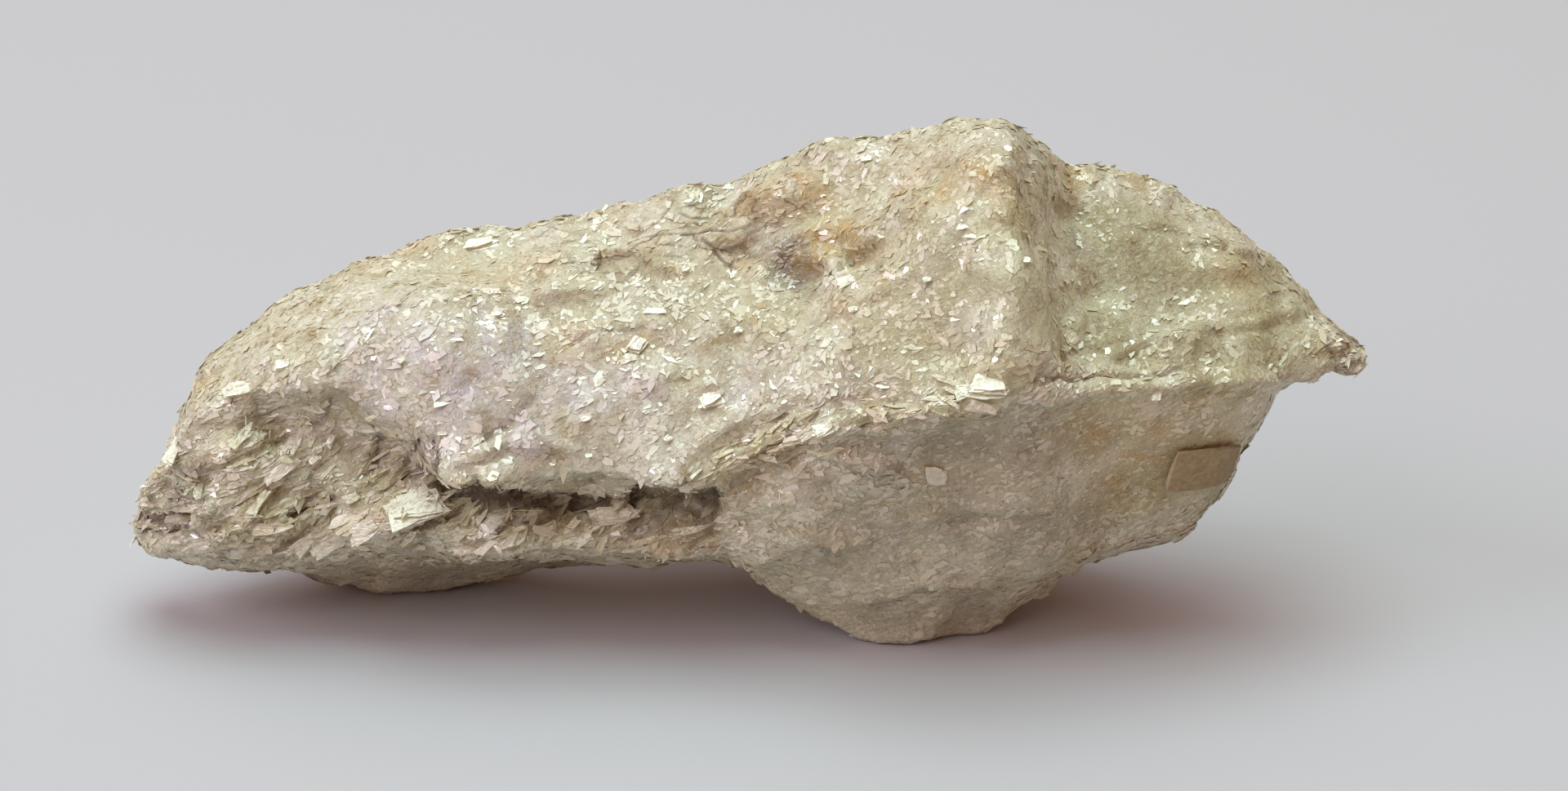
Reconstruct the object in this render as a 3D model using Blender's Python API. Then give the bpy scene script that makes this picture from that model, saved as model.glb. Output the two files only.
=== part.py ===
"""A hand specimen of mica schist: a lump of matted muscovite flakes, with a blank paper label glued to it.

The lump is skinned over lines that run along it from tip to tip, then given its beds, lumps, chipped
facets and pits, and the larger books of mica are fused to its surface. It rests on the worn feet of its
belly. +X runs along the stone towards its narrow tip, -Y is its broken front and +Z is up. The origin is
on the resting surface, at the centre of the stone's outline from above.
"""

import math

import bmesh
import bpy
import numpy as np
from mathutils import Matrix, Vector, noise
from mathutils.bvhtree import BVHTree

# Driving dimensions, in metres.
LENGTH = 0.100  # tip to tip
LABEL_WIDTH = 0.0064
LABEL_HEIGHT = 0.0050
LABEL_THICKNESS = 0.00025
LABEL_GAP = 0.0003  # the glue line between the label and the stone

# Every figure below is in millimetres on a stone 100 mm long, and MM turns it into metres.
MM = LENGTH / 100

# The lines that the skin is stretched over, in order round the stone from its skyline down the front.
# Each point is (x along the stone, y into it, z above the resting surface).
SKYLINE = [
    (-50, 1, 9), (-48.5, 1.5, 11), (-46.5, 2, 12.8), (-45.3, 2.5, 16.5), (-44.3, 3, 19.5), (-41, 5, 23),
    (-34, 7, 26.3), (-27.5, 8, 28.2), (-19.5, 9, 30.5), (-10.5, 9, 32.2), (-1, 8, 35), (7.5, 6, 37.8),
    (14, 4, 40.5), (18, 3, 42), (21, 3, 41.3), (22.6, 4, 39.5), (24.4, 6, 37), (32, 8, 34.8),
    (37.5, 8, 33), (42, 6, 28.4), (46, 4, 23.8), (48.8, 2, 23.1), (50, 0, 22.2),
]
BROW = [
    (-50, -1, 9), (-46.5, -1, 13), (-44, -2, 19.5), (-40, -3, 22.5), (-33, -4, 26), (-26.5, -3, 28.5),
    (-19, -3, 29), (-10, -2, 28.5), (-1, -1, 28.5), (5.5, -1, 30.5), (12, -3, 36), (17.5, -5, 40),
    (21, -6.5, 40.3), (22.3, -3, 37), (26, 1, 32), (37, 0, 30.5), (42, -1, 27.5), (50, -1, 22.5),
]
FACE = [
    (-50, -2, 9), (-46.5, -2.5, 12.8), (-44, -3, 18.5), (-38.5, -5, 21.5), (-33, -7, 23),
    (-26.5, -8, 23.5), (-10, -9, 23.5), (-1, -8, 24), (5.5, -9, 26), (12, -10, 28), (18, -12, 30.5),
    (21.6, -13.5, 31), (23.8, -8.5, 27.5), (29.5, -5, 26.5), (40.5, -5, 25.5), (46, -3, 24),
    (50, -1.5, 22.5),
]
LEDGE_LIP = [
    (-50, -3, 9.5), (-44, -4, 18), (-39, -6, 21), (-34.5, -7.5, 21.5), (-31, -8.5, 21), (-25, -10, 18.5),
    (-23.8, -11.5, 15.8), (-14, -12, 16.2), (-8.5, -12, 16.2), (-2.5, -12.3, 16.2), (1, -12.5, 18),
    (5.5, -13, 20.5), (13, -15, 22.5), (18.5, -16, 23.5), (20, -16, 25), (23, -14, 24),
    (27.5, -12.5, 23.5), (34.5, -11, 24), (40, -9, 22.6), (43.5, -5, 21.8), (50, -2, 22),
]
LEDGE_FOOT = [
    (-50, -3, 9), (-44, -3, 17), (-39.5, -4, 19), (-34.5, -4.5, 19), (-31.5, -5, 17), (-25.5, -6, 14),
    (-24, -3.5, 13), (-14, -4, 12.5), (-8.5, -4.5, 13), (-2.5, -6, 14), (1, -10.5, 16.5), (5.5, -12, 18.5),
    (13, -13.5, 20.5), (18.5, -14, 21.5), (23, -13, 22.5), (28, -12, 22), (34.5, -10.5, 22),
    (40, -8.5, 20.5), (43, -4.4, 21), (50, -2, 21.5),
]
SHELF_FACE = [
    (-50, -3.5, 8.5), (-43.5, -8, 13.5), (-38.5, -8, 14.5), (-33, -9.5, 14), (-28, -10.5, 12.8),
    (-18.5, -10, 11), (-8.5, -9.5, 11), (-2.5, -10, 11.8), (1, -11.5, 14), (5.5, -12.5, 15.5),
    (12, -13.5, 16), (23.5, -13, 15.5), (28, -10.8, 15), (35, -9, 15.5), (39.5, -7.6, 16.8),
    (41, -5.5, 19), (43, -3.6, 20.6), (50, -2, 21),
]
SHELF_LIP = [
    (-50, -3, 7), (-46.5, -5, 7), (-41.5, -7, 7), (-38, -8, 7.5), (-31.5, -9, 8.5), (-10.5, -10, 8.5),
    (-1, -10.5, 8.5), (5.5, -11.5, 9), (12.5, -12, 8.5), (19, -11.5, 8), (23.5, -10, 8), (28.5, -8, 8),
    (35.5, -6, 9), (39, -5, 12.8), (40.3, -3.8, 16.5), (41.7, -3, 20), (45.5, -2.5, 20.6),
    (50, -1.5, 20.6),
]
KEEL = [
    (-50, -1, 6), (-47, -1.5, 5), (-41.5, -2, 4), (-36.5, 0, 2.5), (-34, 1, 1), (-31, 2.5, -0.5),
    (-26, 3.4, -1), (-22.5, 3.5, -0.7), (-18.5, 3, 1), (-14.5, 2, 2), (-10, -1, 4), (-7, -4, 4.8),
    (-0.5, -7, 4.6), (1.5, -7.4, 4.2), (5.5, -8, 1.8), (10, -8.2, -0.4), (12.5, -8.6, -0.8),
    (19, -7, -0.4), (23.5, -5, 2.4), (26.5, -4, 5), (33.5, -2, 6.4), (37.5, -2.4, 8.2), (39, -2.4, 12),
    (40.3, -2.2, 15.5), (41.3, -2, 19.6), (46, -1, 20.4), (50, -0.5, 20.6),
]
BACK_FOOT = [
    (-50, 1.5, 6.5), (-40, 6, 4), (-33, 8, 0), (-25, 9, -1.2), (-18, 9, 1), (-8, 8, 2.5), (1, 9, 1),
    (8, 10.5, -2), (14, 11, -2.4), (19, 11, -2), (25, 10, 2), (33, 8, 8), (40, 6, 14), (45, 4, 19.5),
    (50, 1, 20.7),
]
BACK_BELLY = [
    (-50, 2.5, 8), (-43, 7, 9), (-35, 12, 10), (-20, 16, 12), (0, 18, 15), (12, 19.5, 17), (22, 18.5, 18),
    (32, 14.5, 20), (42, 9, 21.5), (50, 1.5, 21.5),
]
BACK_SHOULDER = [
    (-50, 2, 9), (-44, 6, 14.5), (-36, 12, 18), (-20, 15.5, 23), (-6, 15, 27), (6, 15.5, 31), (15, 13, 35),
    (22, 11.5, 34), (28, 13.5, 31.5), (36, 12, 28.5), (43, 8.5, 25), (50, 1, 22.5),
]
LINES = [  # (line, how sharply the skin turns there, from 0 to 1)
    (SKYLINE, 0.5), (BROW, 0.4), (FACE, 0), (LEDGE_LIP, 0.95), (LEDGE_FOOT, 0.6), (SHELF_FACE, 0),
    (SHELF_LIP, 0.9), (KEEL, 0.6), (BACK_FOOT, 0), (BACK_BELLY, 0), (BACK_SHOULDER, 0.4),
]
TIPS = (-50, 50)  # x of the two ends
STATIONS = 84  # sections along the stone
SKIN_GRAIN = 0.55  # distance between the points of the skin that the breakage moves

# How the lump is broken: beds of matted flakes that roll gently along it, lumps between them, and pits.
BED = 2.3  # thickness of one bed
BED_RISE = 0.45  # how the beds climb along the stone, mm per mm
BED_DIP = 0.25  # and towards its front
BED_ROLL = 3.0  # how far they wander up and down
ROLL_ACROSS = (15, 20, 15)  # over what distance they do
BED_REACH = 1.5  # how far one bed stands out past the next
REACH_ACROSS = (7, 9)  # over what distance along x and y its edge changes
BED_APART = 3.7  # how unlike its neighbour each bed is
BED_TAPER = 0.5  # how much less of a bed stands out at its top than at its foot
CREVICE = 0.5  # depth of the open joint between beds
CREVICE_WIDTH = 0.16  # and its width, in thicknesses of a bed
SPREAD = 1.6  # how much of a bedded or worn area has it in full
BEDDED = [  # (centre, reach): where the beds show; elsewhere the flakes are matted and hide them
    ((-40, -8, 11), (17, 14, 10)),
    ((-16, -9, 10), (20, 8, 6)),
    ((2, -11, 17), (10, 8, 8)),
    ((-5, 4, 33), (20, 9, 7)),
    ((32, -6, 23), (13, 8, 5)),
    ((30, 14, 14), (30, 12, 14)),
    ((-30, 12, 12), (22, 12, 14)),
]
LUMPS = ((12.0, 1.2), (5.2, 0.5))  # (distance across, height) of the rounded lumps
LUMP_PLACE = (4.1, 0.7)  # where in the pattern of lumps the stone lies
CHIPS = ((8.5, 0.5, 0.16), (3.6, 0.3, 0.2))  # (distance across, step, tilt) of the flat broken facets
CHIP_TURN, CHIP_STEP = 5.3, 7.9  # how unlike its neighbour each facet's tilt and height are
RUBBED = 0.3  # how far the breakage is rubbed smooth again
# (centre, reach along x, y and z, depth): a pit where depth is above 0, a knob where it is below.
PITS = [
    ((3.6, -2, 30.6), (3.6, 6, 2.6), 2.4),  # dark notch below the cracked plates
    ((7.6, -3, 31.8), (3.2, 5, 1.3), 1.5),  # slot under the small overhang beside it
    ((7.5, -4, 33.8), (4.0, 5, 1.4), -0.9),
    ((-1.0, -8, 26.0), (2.2, 6, 4.5), 1.0),  # valley that runs down from the notch
    ((-38.5, -6, 18.6), (5.0, 6, 2.6), 1.7),  # hollows in the broken left end
    ((-37.5, -8, 13.2), (4.2, 6, 2.0), 1.6),
    ((-42.0, -6, 10.4), (4.0, 5, 1.3), 1.4),
    ((-47.0, -4, 9.3), (4.0, 5, 0.9), 1.6),
    ((-46.5, -4, 11.6), (3.4, 5, 1.1), -0.9),
    ((-32.5, -8, 19.3), (1.8, 6, 2.6), 1.7),
    ((-27.3, -9, 16.4), (2.6, 6, 1.6), 1.3),
    ((28.0, -2, 28.2), (2.6, 6, 3.2), 1.5),  # pits beside the upright ridge
    ((31.5, -7, 23.9), (5.5, 5, 0.9), 1.1),
    ((34.0, -8, 25.6), (5.0, 5, 1.2), -0.9),
    ((23.8, -8, 10.0), (3.2, 5, 2.6), -1.2),  # pale knobs low on the front
    ((14.0, -9, 16.5), (2.2, 5, 2.2), -0.7),
    ((45.2, -2.5, 20.8), (1.5, 2.5, 1.3), -0.8),  # knob under the narrow tip
    ((47.5, 0, 26.0), (2.2, 4, 1.6), -0.6),
    ((13.5, 1.5, 0), (8.0, 5.0, 4.0), 2.0),  # hollow of the belly between its two feet
]
BREAKAGE = 4  # which of the many ways a lump like this can break
STONE_FACES = 8200  # triangles of the lump before its books are fused

# Books of mica that stand clear of the matting: (x, z, width, height, turn about the view, lean back), in
# millimetres and degrees. Each is set where a line from the front at that x and z meets the stone.
FRONT_BOOKS = [
    (18.6, 25.6, 4.2, 3.2, 20, 12),
    (-26.2, 12.8, 4.8, 3.2, 16, 8),
    (-11.4, 12.6, 4.2, 2.0, 10, 15),
    (-29.0, 14.8, 2.6, 2.0, 35, 10),
    (-33.4, 15.9, 2.2, 2.6, 60, 20),
    (-2.6, 22.2, 2.4, 2.2, 15, 30),
    (6.3, 19.9, 2.8, 2.0, 25, 30),
    (-45.6, 13.4, 1.6, 3.2, 10, -10),
    (33.8, 23.0, 2.0, 2.6, 80, 10),
    (-14.8, 8.6, 3.4, 1.8, -25, 35),
    (-40.6, 19.6, 2.0, 1.8, 0, 25),
    (-4.2, 10.2, 2.6, 2.0, 20, 30),
]
# Slabs that lie on the stone's back between the cracks there: (x, y, length, width, turn about z).
TOP_SLABS = [
    (-8.0, 1.0, 7.5, 2.8, 8), (-13.0, -1.5, 6.0, 2.8, 14), (-2.0, 3.5, 6.5, 3.0, 4),
    (-17.0, 2.5, 5.5, 2.8, -6), (-7.0, 6.5, 7.0, 2.6, 12), (4.0, 4.0, 5.0, 2.8, 14),
    (31.0, 5.0, 6.0, 3.0, -8),
]
BOOK_CORNERS, SLAB_CORNERS = 5, 6
BOOK_THICKNESS = 1.0
BOOK_SUNK = 0.68  # how much of a book's thickness is inside the matting
OUTLINE_JITTER = 0.26  # how far a corner of a book is off a regular outline, for a book 1 across
OUTLINE_PLACE = (1.7, 0.9, 2.2)  # how outlines differ from book to book and from corner to corner
SLAB_OUTLINES = 40  # the first outline that the slabs use
SEAT_REACH = (1.2, 0.8)  # how far across and up from its middle a book takes the lie of the stone from
BEFORE = -40  # y of a place clear of the stone's front
ABOVE = 80  # z of a place clear of its top
LABEL_AT = (36.0, 15.9)  # x and z of the label's middle
LABEL_MIDDLE_Y = -5
LABEL_PAD = (6.5, 9, 6.5)  # the stone is worn smooth this far round it
LABEL_TURN = -11  # degrees about the view
LABEL_CELLS = (6, 4)  # the label bends between these
LABEL_LIFT = 3  # how far off the stone the label is before it is pressed on
LABEL_FLATTENING = 0.5

MICA = {"colour": (0.62, 0.56, 0.42), "roughness": 0.45, "smooth_degrees": 28}
PAPER = {"colour": (0.45, 0.33, 0.20), "roughness": 0.8, "smooth_degrees": 40}


def at(x, y, z):
    return Vector((x, y, z)) * MM


def section(x):
    """Where each line crosses the plane at x, in order round the stone."""
    points = []
    for line, _ in LINES:
        xs, ys, zs = zip(*line)
        points.append(at(x, np.interp(x, xs, ys), np.interp(x, xs, zs)))
    return points


def new_object(name, bm):
    mesh = bpy.data.meshes.new(name)
    bm.to_mesh(mesh)
    bm.free()
    made = bpy.data.objects.new(name, mesh)
    bpy.context.scene.collection.objects.link(made)
    return made


def settle(obj):
    """Turns the object's modifiers into its mesh."""
    graph = bpy.context.evaluated_depsgraph_get()
    mesh = bpy.data.meshes.new_from_object(obj.evaluated_get(graph))
    obj.modifiers.clear()
    obj.data = mesh


def stretch_skin(name):
    """The lump's main form: a ring of corners at each station, skinned from tip to tip."""
    bm = bmesh.new()
    crease = bm.edges.layers.float.new("crease_edge")
    rings = []
    for x in np.linspace(*TIPS, STATIONS):
        rings.append([bm.verts.new(p) for p in section(float(x))])
    count = len(LINES)
    for ring, following in zip(rings, rings[1:]):
        for k in range(count):
            after = (k + 1) % count
            bm.faces.new((ring[k], ring[after], following[after], following[k]))
        for k, (_, sharpness) in enumerate(LINES):
            bm.edges.get((ring[k], following[k]))[crease] = sharpness
    bm.faces.new(rings[0])
    bm.faces.new(rings[-1])
    bmesh.ops.recalc_face_normals(bm, faces=bm.faces)
    stone = new_object(name, bm)
    smooth = stone.modifiers.new("Round", "SUBSURF")
    smooth.levels = smooth.render_levels = 1
    fine = stone.modifiers.new("Even", "REMESH")
    fine.mode = "VOXEL"
    fine.voxel_size = SKIN_GRAIN * MM
    settle(stone)
    return stone


def fade(p, centre, reach):
    """1 at the centre of an ellipsoid, falling smoothly to 0 at its surface."""
    away = math.sqrt(sum(((p[k] - centre[k]) / reach[k]) ** 2 for k in range(3)))
    return 0.5 + 0.5 * math.cos(math.pi * min(away, 1.0))


def bedding(p):
    """How far the edge of a bed stands out at p, less where p is in the joint between two."""
    roll = BED_ROLL * noise.noise(Vector([p[k] / ROLL_ACROSS[k] for k in range(3)]))
    layer, within = divmod((p.z - BED_RISE * p.x - BED_DIP * p.y + roll) / BED, 1)
    reach = noise.noise(Vector((p.x / REACH_ACROSS[0], p.y / REACH_ACROSS[1], layer * BED_APART + 0.5)))
    joint = math.exp(-((min(within, 1 - within) / CREVICE_WIDTH) ** 2))
    return BED_REACH * reach * (1 - BED_TAPER * within) - CREVICE * joint


def chip(p, size, step, tilt):
    """A patchwork of flat facets, each with its own height and tilt, as where flakes have split away."""
    _, nearest = noise.voronoi(p / size)
    middle = nearest[0]
    lean = noise.noise_vector(middle * CHIP_TURN)
    return step * noise.noise(middle * CHIP_STEP) + tilt * size * lean.dot(p / size - middle)


def relief(p):
    """The height of the broken surface over the smooth skin at p, all in millimetres."""
    bedded = max(fade(p, centre, reach) for centre, reach in BEDDED)
    height = min(1, SPREAD * bedded) * bedding(p)
    for size, rise in LUMPS:
        height += rise * noise.noise(p / size + Vector((*LUMP_PLACE, size)))
    for size, step, tilt in CHIPS:
        height += chip(p, size, step, tilt)
    pad = fade(p, (LABEL_AT[0], LABEL_MIDDLE_Y, LABEL_AT[1]), LABEL_PAD)
    height *= 1 - min(1, SPREAD * pad)
    for centre, reach, depth in PITS:
        height -= depth * fade(p, centre, reach)
    return height


def rub(bm, factor):
    """Draws every point towards the middle of those round it."""
    every_way = {"use_axis_x": True, "use_axis_y": True, "use_axis_z": True}
    bmesh.ops.smooth_vert(bm, verts=bm.verts, factor=factor, **every_way)


def break_surface(stone):
    bm = bmesh.new()
    bm.from_mesh(stone.data)
    bm.normal_update()
    heights = [relief(v.co / MM) * MM for v in bm.verts]
    moved = [v.co + v.normal * h for v, h in zip(bm.verts, heights)]
    for v, co in zip(bm.verts, moved):
        v.co = co
    rub(bm, RUBBED)
    bm.to_mesh(stone.data)
    bm.free()


def surface_of(obj):
    bm = bmesh.new()
    bm.from_mesh(obj.data)
    tree = BVHTree.FromBMesh(bm)
    bm.free()
    return tree


def add_plate(bm, corners, width, height, thickness, place, seed):
    """A flat book of mica with an uneven outline, its faces in the XY plane of place."""
    made = bmesh.ops.create_circle(bm, cap_ends=True, radius=0.5, segments=corners)
    for k, v in enumerate(made["verts"]):
        book, corner, start = OUTLINE_PLACE
        uneven = noise.noise_vector(Vector((seed * book, k * corner, start))) * OUTLINE_JITTER
        v.co = Vector(((v.co.x + uneven.x) * width, (v.co.y + uneven.y) * height, -thickness / 2))
    face = made["verts"][0].link_faces[0]
    top = bmesh.ops.extrude_face_region(bm, geom=[face])
    raised = [g for g in top["geom"] if isinstance(g, bmesh.types.BMVert)]
    bmesh.ops.translate(bm, verts=raised, vec=(0, 0, thickness))
    plate = made["verts"] + raised
    bmesh.ops.transform(bm, verts=plate, matrix=place)


def seat(surface, start, towards, turn, lean, lift):
    """A frame on the stone where a ray meets it: Z out along the surface, eased by turn and lean."""
    hit, normal, _, _ = surface.ray_cast(start, towards)
    across, up = SEAT_REACH
    for aside in (at(across, 0, 0), at(-across, 0, 0), at(0, up, up), at(0, -up, -up)):
        normal = normal + (surface.ray_cast(start + aside, towards)[1] or normal)
    normal.normalize()
    across = Vector((1, 0, 0)) - normal * normal.x
    across.normalize()
    upward = normal.cross(across)
    basis = Matrix((across, upward, normal)).transposed()
    ease = Matrix.Rotation(math.radians(lean), 3, "X") @ Matrix.Rotation(math.radians(turn), 3, "Z")
    place = (basis @ ease).to_4x4()
    place.translation = hit + normal * lift
    return place


def books(stone):
    """The larger books and slabs of mica, as one object of closed plates."""
    surface = surface_of(stone)
    bm = bmesh.new()
    thickness = BOOK_THICKNESS * MM
    lift = (0.5 - BOOK_SUNK) * thickness
    for k, (x, z, width, height, turn, lean) in enumerate(FRONT_BOOKS):
        place = seat(surface, at(x, BEFORE, z), Vector((0, 1, 0)), turn, lean, lift)
        add_plate(bm, BOOK_CORNERS, width * MM, height * MM, thickness, place, k)
    for k, (x, y, length, width, turn) in enumerate(TOP_SLABS):
        place = seat(surface, at(x, y, ABOVE), Vector((0, 0, -1)), turn, 0, lift)
        add_plate(bm, SLAB_CORNERS, length * MM, width * MM, thickness, place, k + SLAB_OUTLINES)
    bmesh.ops.recalc_face_normals(bm, faces=bm.faces)
    return new_object("books", bm)


def fuse(stone, plates):
    """Grows the books into the stone, so that they are one solid."""
    union = stone.modifiers.new("Books", "BOOLEAN")
    union.operation = "UNION"
    union.object = plates
    union.use_self = True
    settle(stone)
    bpy.data.objects.remove(plates)


def thin_out(stone):
    thin = stone.modifiers.new("Facets", "DECIMATE")
    thin.ratio = STONE_FACES / (2 * len(stone.data.polygons))
    settle(stone)


def wear_flat(stone):
    """Wears its feet off level with the resting surface, which leaves the flats that the stone rests on."""
    bm = bmesh.new()
    bm.from_mesh(stone.data)
    every = bm.verts[:] + bm.edges[:] + bm.faces[:]
    cut = bmesh.ops.bisect_plane(
        bm, geom=every, plane_co=(0, 0, 0), plane_no=(0, 0, -1), clear_outer=True,
    )
    rim = [g for g in cut["geom_cut"] if isinstance(g, bmesh.types.BMEdge)]
    bmesh.ops.holes_fill(bm, edges=rim)
    bmesh.ops.triangulate(bm, faces=bm.faces)
    bm.to_mesh(stone.data)
    bm.free()


def glue_label(stone, name):
    """A rectangle of paper pressed on to the stone's smooth lower face, an even gap away from it."""
    surface = surface_of(stone)
    x, z = LABEL_AT
    place = seat(surface, at(x, BEFORE, z), Vector((0, 1, 0)), LABEL_TURN, 0, 0)
    bm = bmesh.new()
    bmesh.ops.create_grid(bm, x_segments=LABEL_CELLS[0], y_segments=LABEL_CELLS[1], size=0.5)
    for v in bm.verts:
        out = place.to_3x3() @ Vector((0, 0, 1))
        above = place @ Vector((v.co.x * LABEL_WIDTH, v.co.y * LABEL_HEIGHT, 0)) + out * LABEL_LIFT * MM
        hit, _, _, _ = surface.ray_cast(above, -out)
        v.co = hit + out * LABEL_GAP
    for _ in range(2):
        rub(bm, LABEL_FLATTENING)
    label = new_object(name, bm)
    paper = label.modifiers.new("Paper", "SOLIDIFY")
    paper.thickness = LABEL_THICKNESS
    paper.offset = 1
    settle(label)
    return label


def finish(obj, colour, roughness, smooth_degrees):
    material = bpy.data.materials.new(obj.name)
    material.use_nodes = True
    shader = material.node_tree.nodes["Principled BSDF"]
    shader.inputs["Base Color"].default_value = (*colour, 1)
    shader.inputs["Roughness"].default_value = roughness
    obj.data.materials.clear()
    obj.data.materials.append(material)
    obj.data.shade_smooth()
    obj.data.set_sharp_from_angle(angle=math.radians(smooth_degrees))


def stand_at_origin(objects):
    """Moves everything so that the stone's footprint is centred on the origin and it stands on z = 0."""
    corners = np.array([v.co for o in objects for v in o.data.vertices])
    low, high = corners.min(axis=0), corners.max(axis=0)
    shift = Vector((-(low[0] + high[0]) / 2, -(low[1] + high[1]) / 2, -low[2]))
    for o in objects:
        o.data.transform(Matrix.Translation(shift))


for old in list(bpy.data.objects):
    bpy.data.objects.remove(old)
noise.seed_set(BREAKAGE)
stone = stretch_skin("mica_crystal")
break_surface(stone)
thin_out(stone)
fuse(stone, books(stone))
wear_flat(stone)
label = glue_label(stone, "paper_label")
stand_at_origin([stone, label])
finish(stone, **MICA)
finish(label, **PAPER)
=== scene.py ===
"""A hand specimen of mica: one lump of matted muscovite flakes with a blank paper label, on a pale table."""

import math

import bmesh
import bpy
import numpy as np
from mathutils import Matrix, Vector, noise
from mathutils.bvhtree import BVHTree
from mathutils.kdtree import KDTree


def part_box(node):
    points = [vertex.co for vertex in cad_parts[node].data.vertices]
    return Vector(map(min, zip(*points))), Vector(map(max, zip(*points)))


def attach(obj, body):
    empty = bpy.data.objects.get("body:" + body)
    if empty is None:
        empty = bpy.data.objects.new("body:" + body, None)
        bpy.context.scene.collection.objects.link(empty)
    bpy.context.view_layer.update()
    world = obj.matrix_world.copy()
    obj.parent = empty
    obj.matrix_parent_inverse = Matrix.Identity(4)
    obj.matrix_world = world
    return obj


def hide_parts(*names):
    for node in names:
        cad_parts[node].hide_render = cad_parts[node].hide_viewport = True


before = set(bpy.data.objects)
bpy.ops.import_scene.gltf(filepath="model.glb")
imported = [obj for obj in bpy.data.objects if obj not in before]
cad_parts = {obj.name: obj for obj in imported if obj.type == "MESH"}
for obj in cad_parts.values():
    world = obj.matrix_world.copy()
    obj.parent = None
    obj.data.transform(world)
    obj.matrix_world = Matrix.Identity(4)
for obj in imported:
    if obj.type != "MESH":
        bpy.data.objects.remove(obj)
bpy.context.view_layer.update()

# ---- The lump -------------------------------------------------------------------------------------------
# One solid mass of muscovite: flakes a fraction of a millimetre across, grown into each other in beds that
# climb along the stone. It was broken out with a hammer, so its surface is small steps, chips and crevices,
# stained golden by iron along its cracks, and dark in its hollows with dirt and with painted shade.
MM = 0.001
GRAIN = 0.42  # mm between the points of the broken surface
SUNK = 0.16  # mm that the surface starts below the outline, so that flakes can stand on it
FOLIATION = np.array((-0.40, -0.22, 0.89))  # the way that the beds and most of the flakes face
FRONT = Vector((0.003, -0.0006, 0.0184))  # the middle of the stone's front
LOOKED_FROM = 0.351  # m away from it
LOOKED_DOWN = math.radians(22)  # how steeply it is looked down on
EYE = FRONT + Vector((0, -math.cos(LOOKED_DOWN), math.sin(LOOKED_DOWN))) * LOOKED_FROM
UPWARD = Vector((0, math.sin(LOOKED_DOWN), math.cos(LOOKED_DOWN)))
noise.seed_set(7)


def settle(piece):
    """Turns the piece's modifiers into its mesh."""
    graph = bpy.context.evaluated_depsgraph_get()
    mesh = bpy.data.meshes.new_from_object(piece.evaluated_get(graph))
    piece.modifiers.clear()
    piece.data = mesh


def placed(name, data):
    made = bpy.data.objects.new(name, data)
    bpy.context.scene.collection.objects.link(made)
    return made


def new_piece(name, bm):
    mesh = bpy.data.meshes.new(name)
    bm.to_mesh(mesh)
    bm.free()
    return placed(name, mesh)


def read(collection, name, width):
    flat = np.zeros(len(collection) * width, np.float32 if name != "vertices" else np.int32)
    collection.foreach_get(name, flat)
    return flat.reshape(-1, width)


def ripple(points, size, shift=0.0):
    """Smooth noise of that size in mm at each point, from -1 to 1."""
    return np.array([noise.noise(p) for p in (points / size + shift).tolist()])


def spread(points, zone, ragged=1.2):
    """How strongly each point lies in a zone of spots, each (centre, reach, strength) with a ragged edge."""
    wander = [ripple(points, 2.6, 3.1 + k * 5.7) + 0.6 * ripple(points, 0.9, 9.1 + k) for k in range(3)]
    moved = points + ragged * np.stack(wander, 1)
    most = np.zeros(len(points))
    for centre, reach, strength in zone:
        away = np.linalg.norm(moved - np.array(centre), axis=1) / reach
        most = np.maximum(most, strength * (0.5 + 0.5 * np.cos(np.pi * np.clip(away, 0, 1))))
    return most


bm = bmesh.new()
bm.from_mesh(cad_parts["mica_crystal"].data)
bmesh.ops.remove_doubles(bm, verts=bm.verts, dist=1e-6)
whole = BVHTree.FromBMesh(bm)
stone = new_piece("matted_mica", bm)
even = stone.modifiers.new("Even", "REMESH")
even.mode = "VOXEL"
even.voxel_size = GRAIN * MM
settle(stone)


def met(u, v):
    """Where a line of sight meets the stone, u mm right of and v mm above the middle of its front."""
    aim = FRONT + Vector((u * MM, 0, 0)) + UPWARD * v * MM - EYE
    hit, normal, _, _ = whole.ray_cast(EYE, aim.normalized())
    return hit, normal


def spots(rows):
    """Spots on the stone from (u, v, reach, strength)."""
    made = []
    for u, v, reach, strength in rows:
        hit, _ = met(u, v)
        if hit is not None:
            made.append((tuple(hit / MM), reach, strength))
    return made


# What the front of the stone is like from place to place, as (u, v, reach, strength) in mm. First, where the
# break runs across the beds, so that their edges show.
BROKEN_EDGES = spots([
    (-50, -8, 8, 1), (-42, -3, 8, 1), (-40, -9, 9, 1), (-33, -5, 6, 1), (-30, -10, 7, 1), (-22, -11, 6, 1),
    (-14, -10, 6, 1), (-6, -11, 6, 1), (-3, -5, 4, 1), (1, -3, 5, 1), (6, -2, 4, 1), (-13, 12, 4, 0.7),
    (-5, 14, 6, 0.7), (1, 12, 5, 0.8), (10, -1, 4, 0.8), (22, 0, 6, 0.8), (32, 1, 6, 0.8), (40, 2, 4, 0.8),
    (45, 3, 5, 0.7),
])
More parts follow.
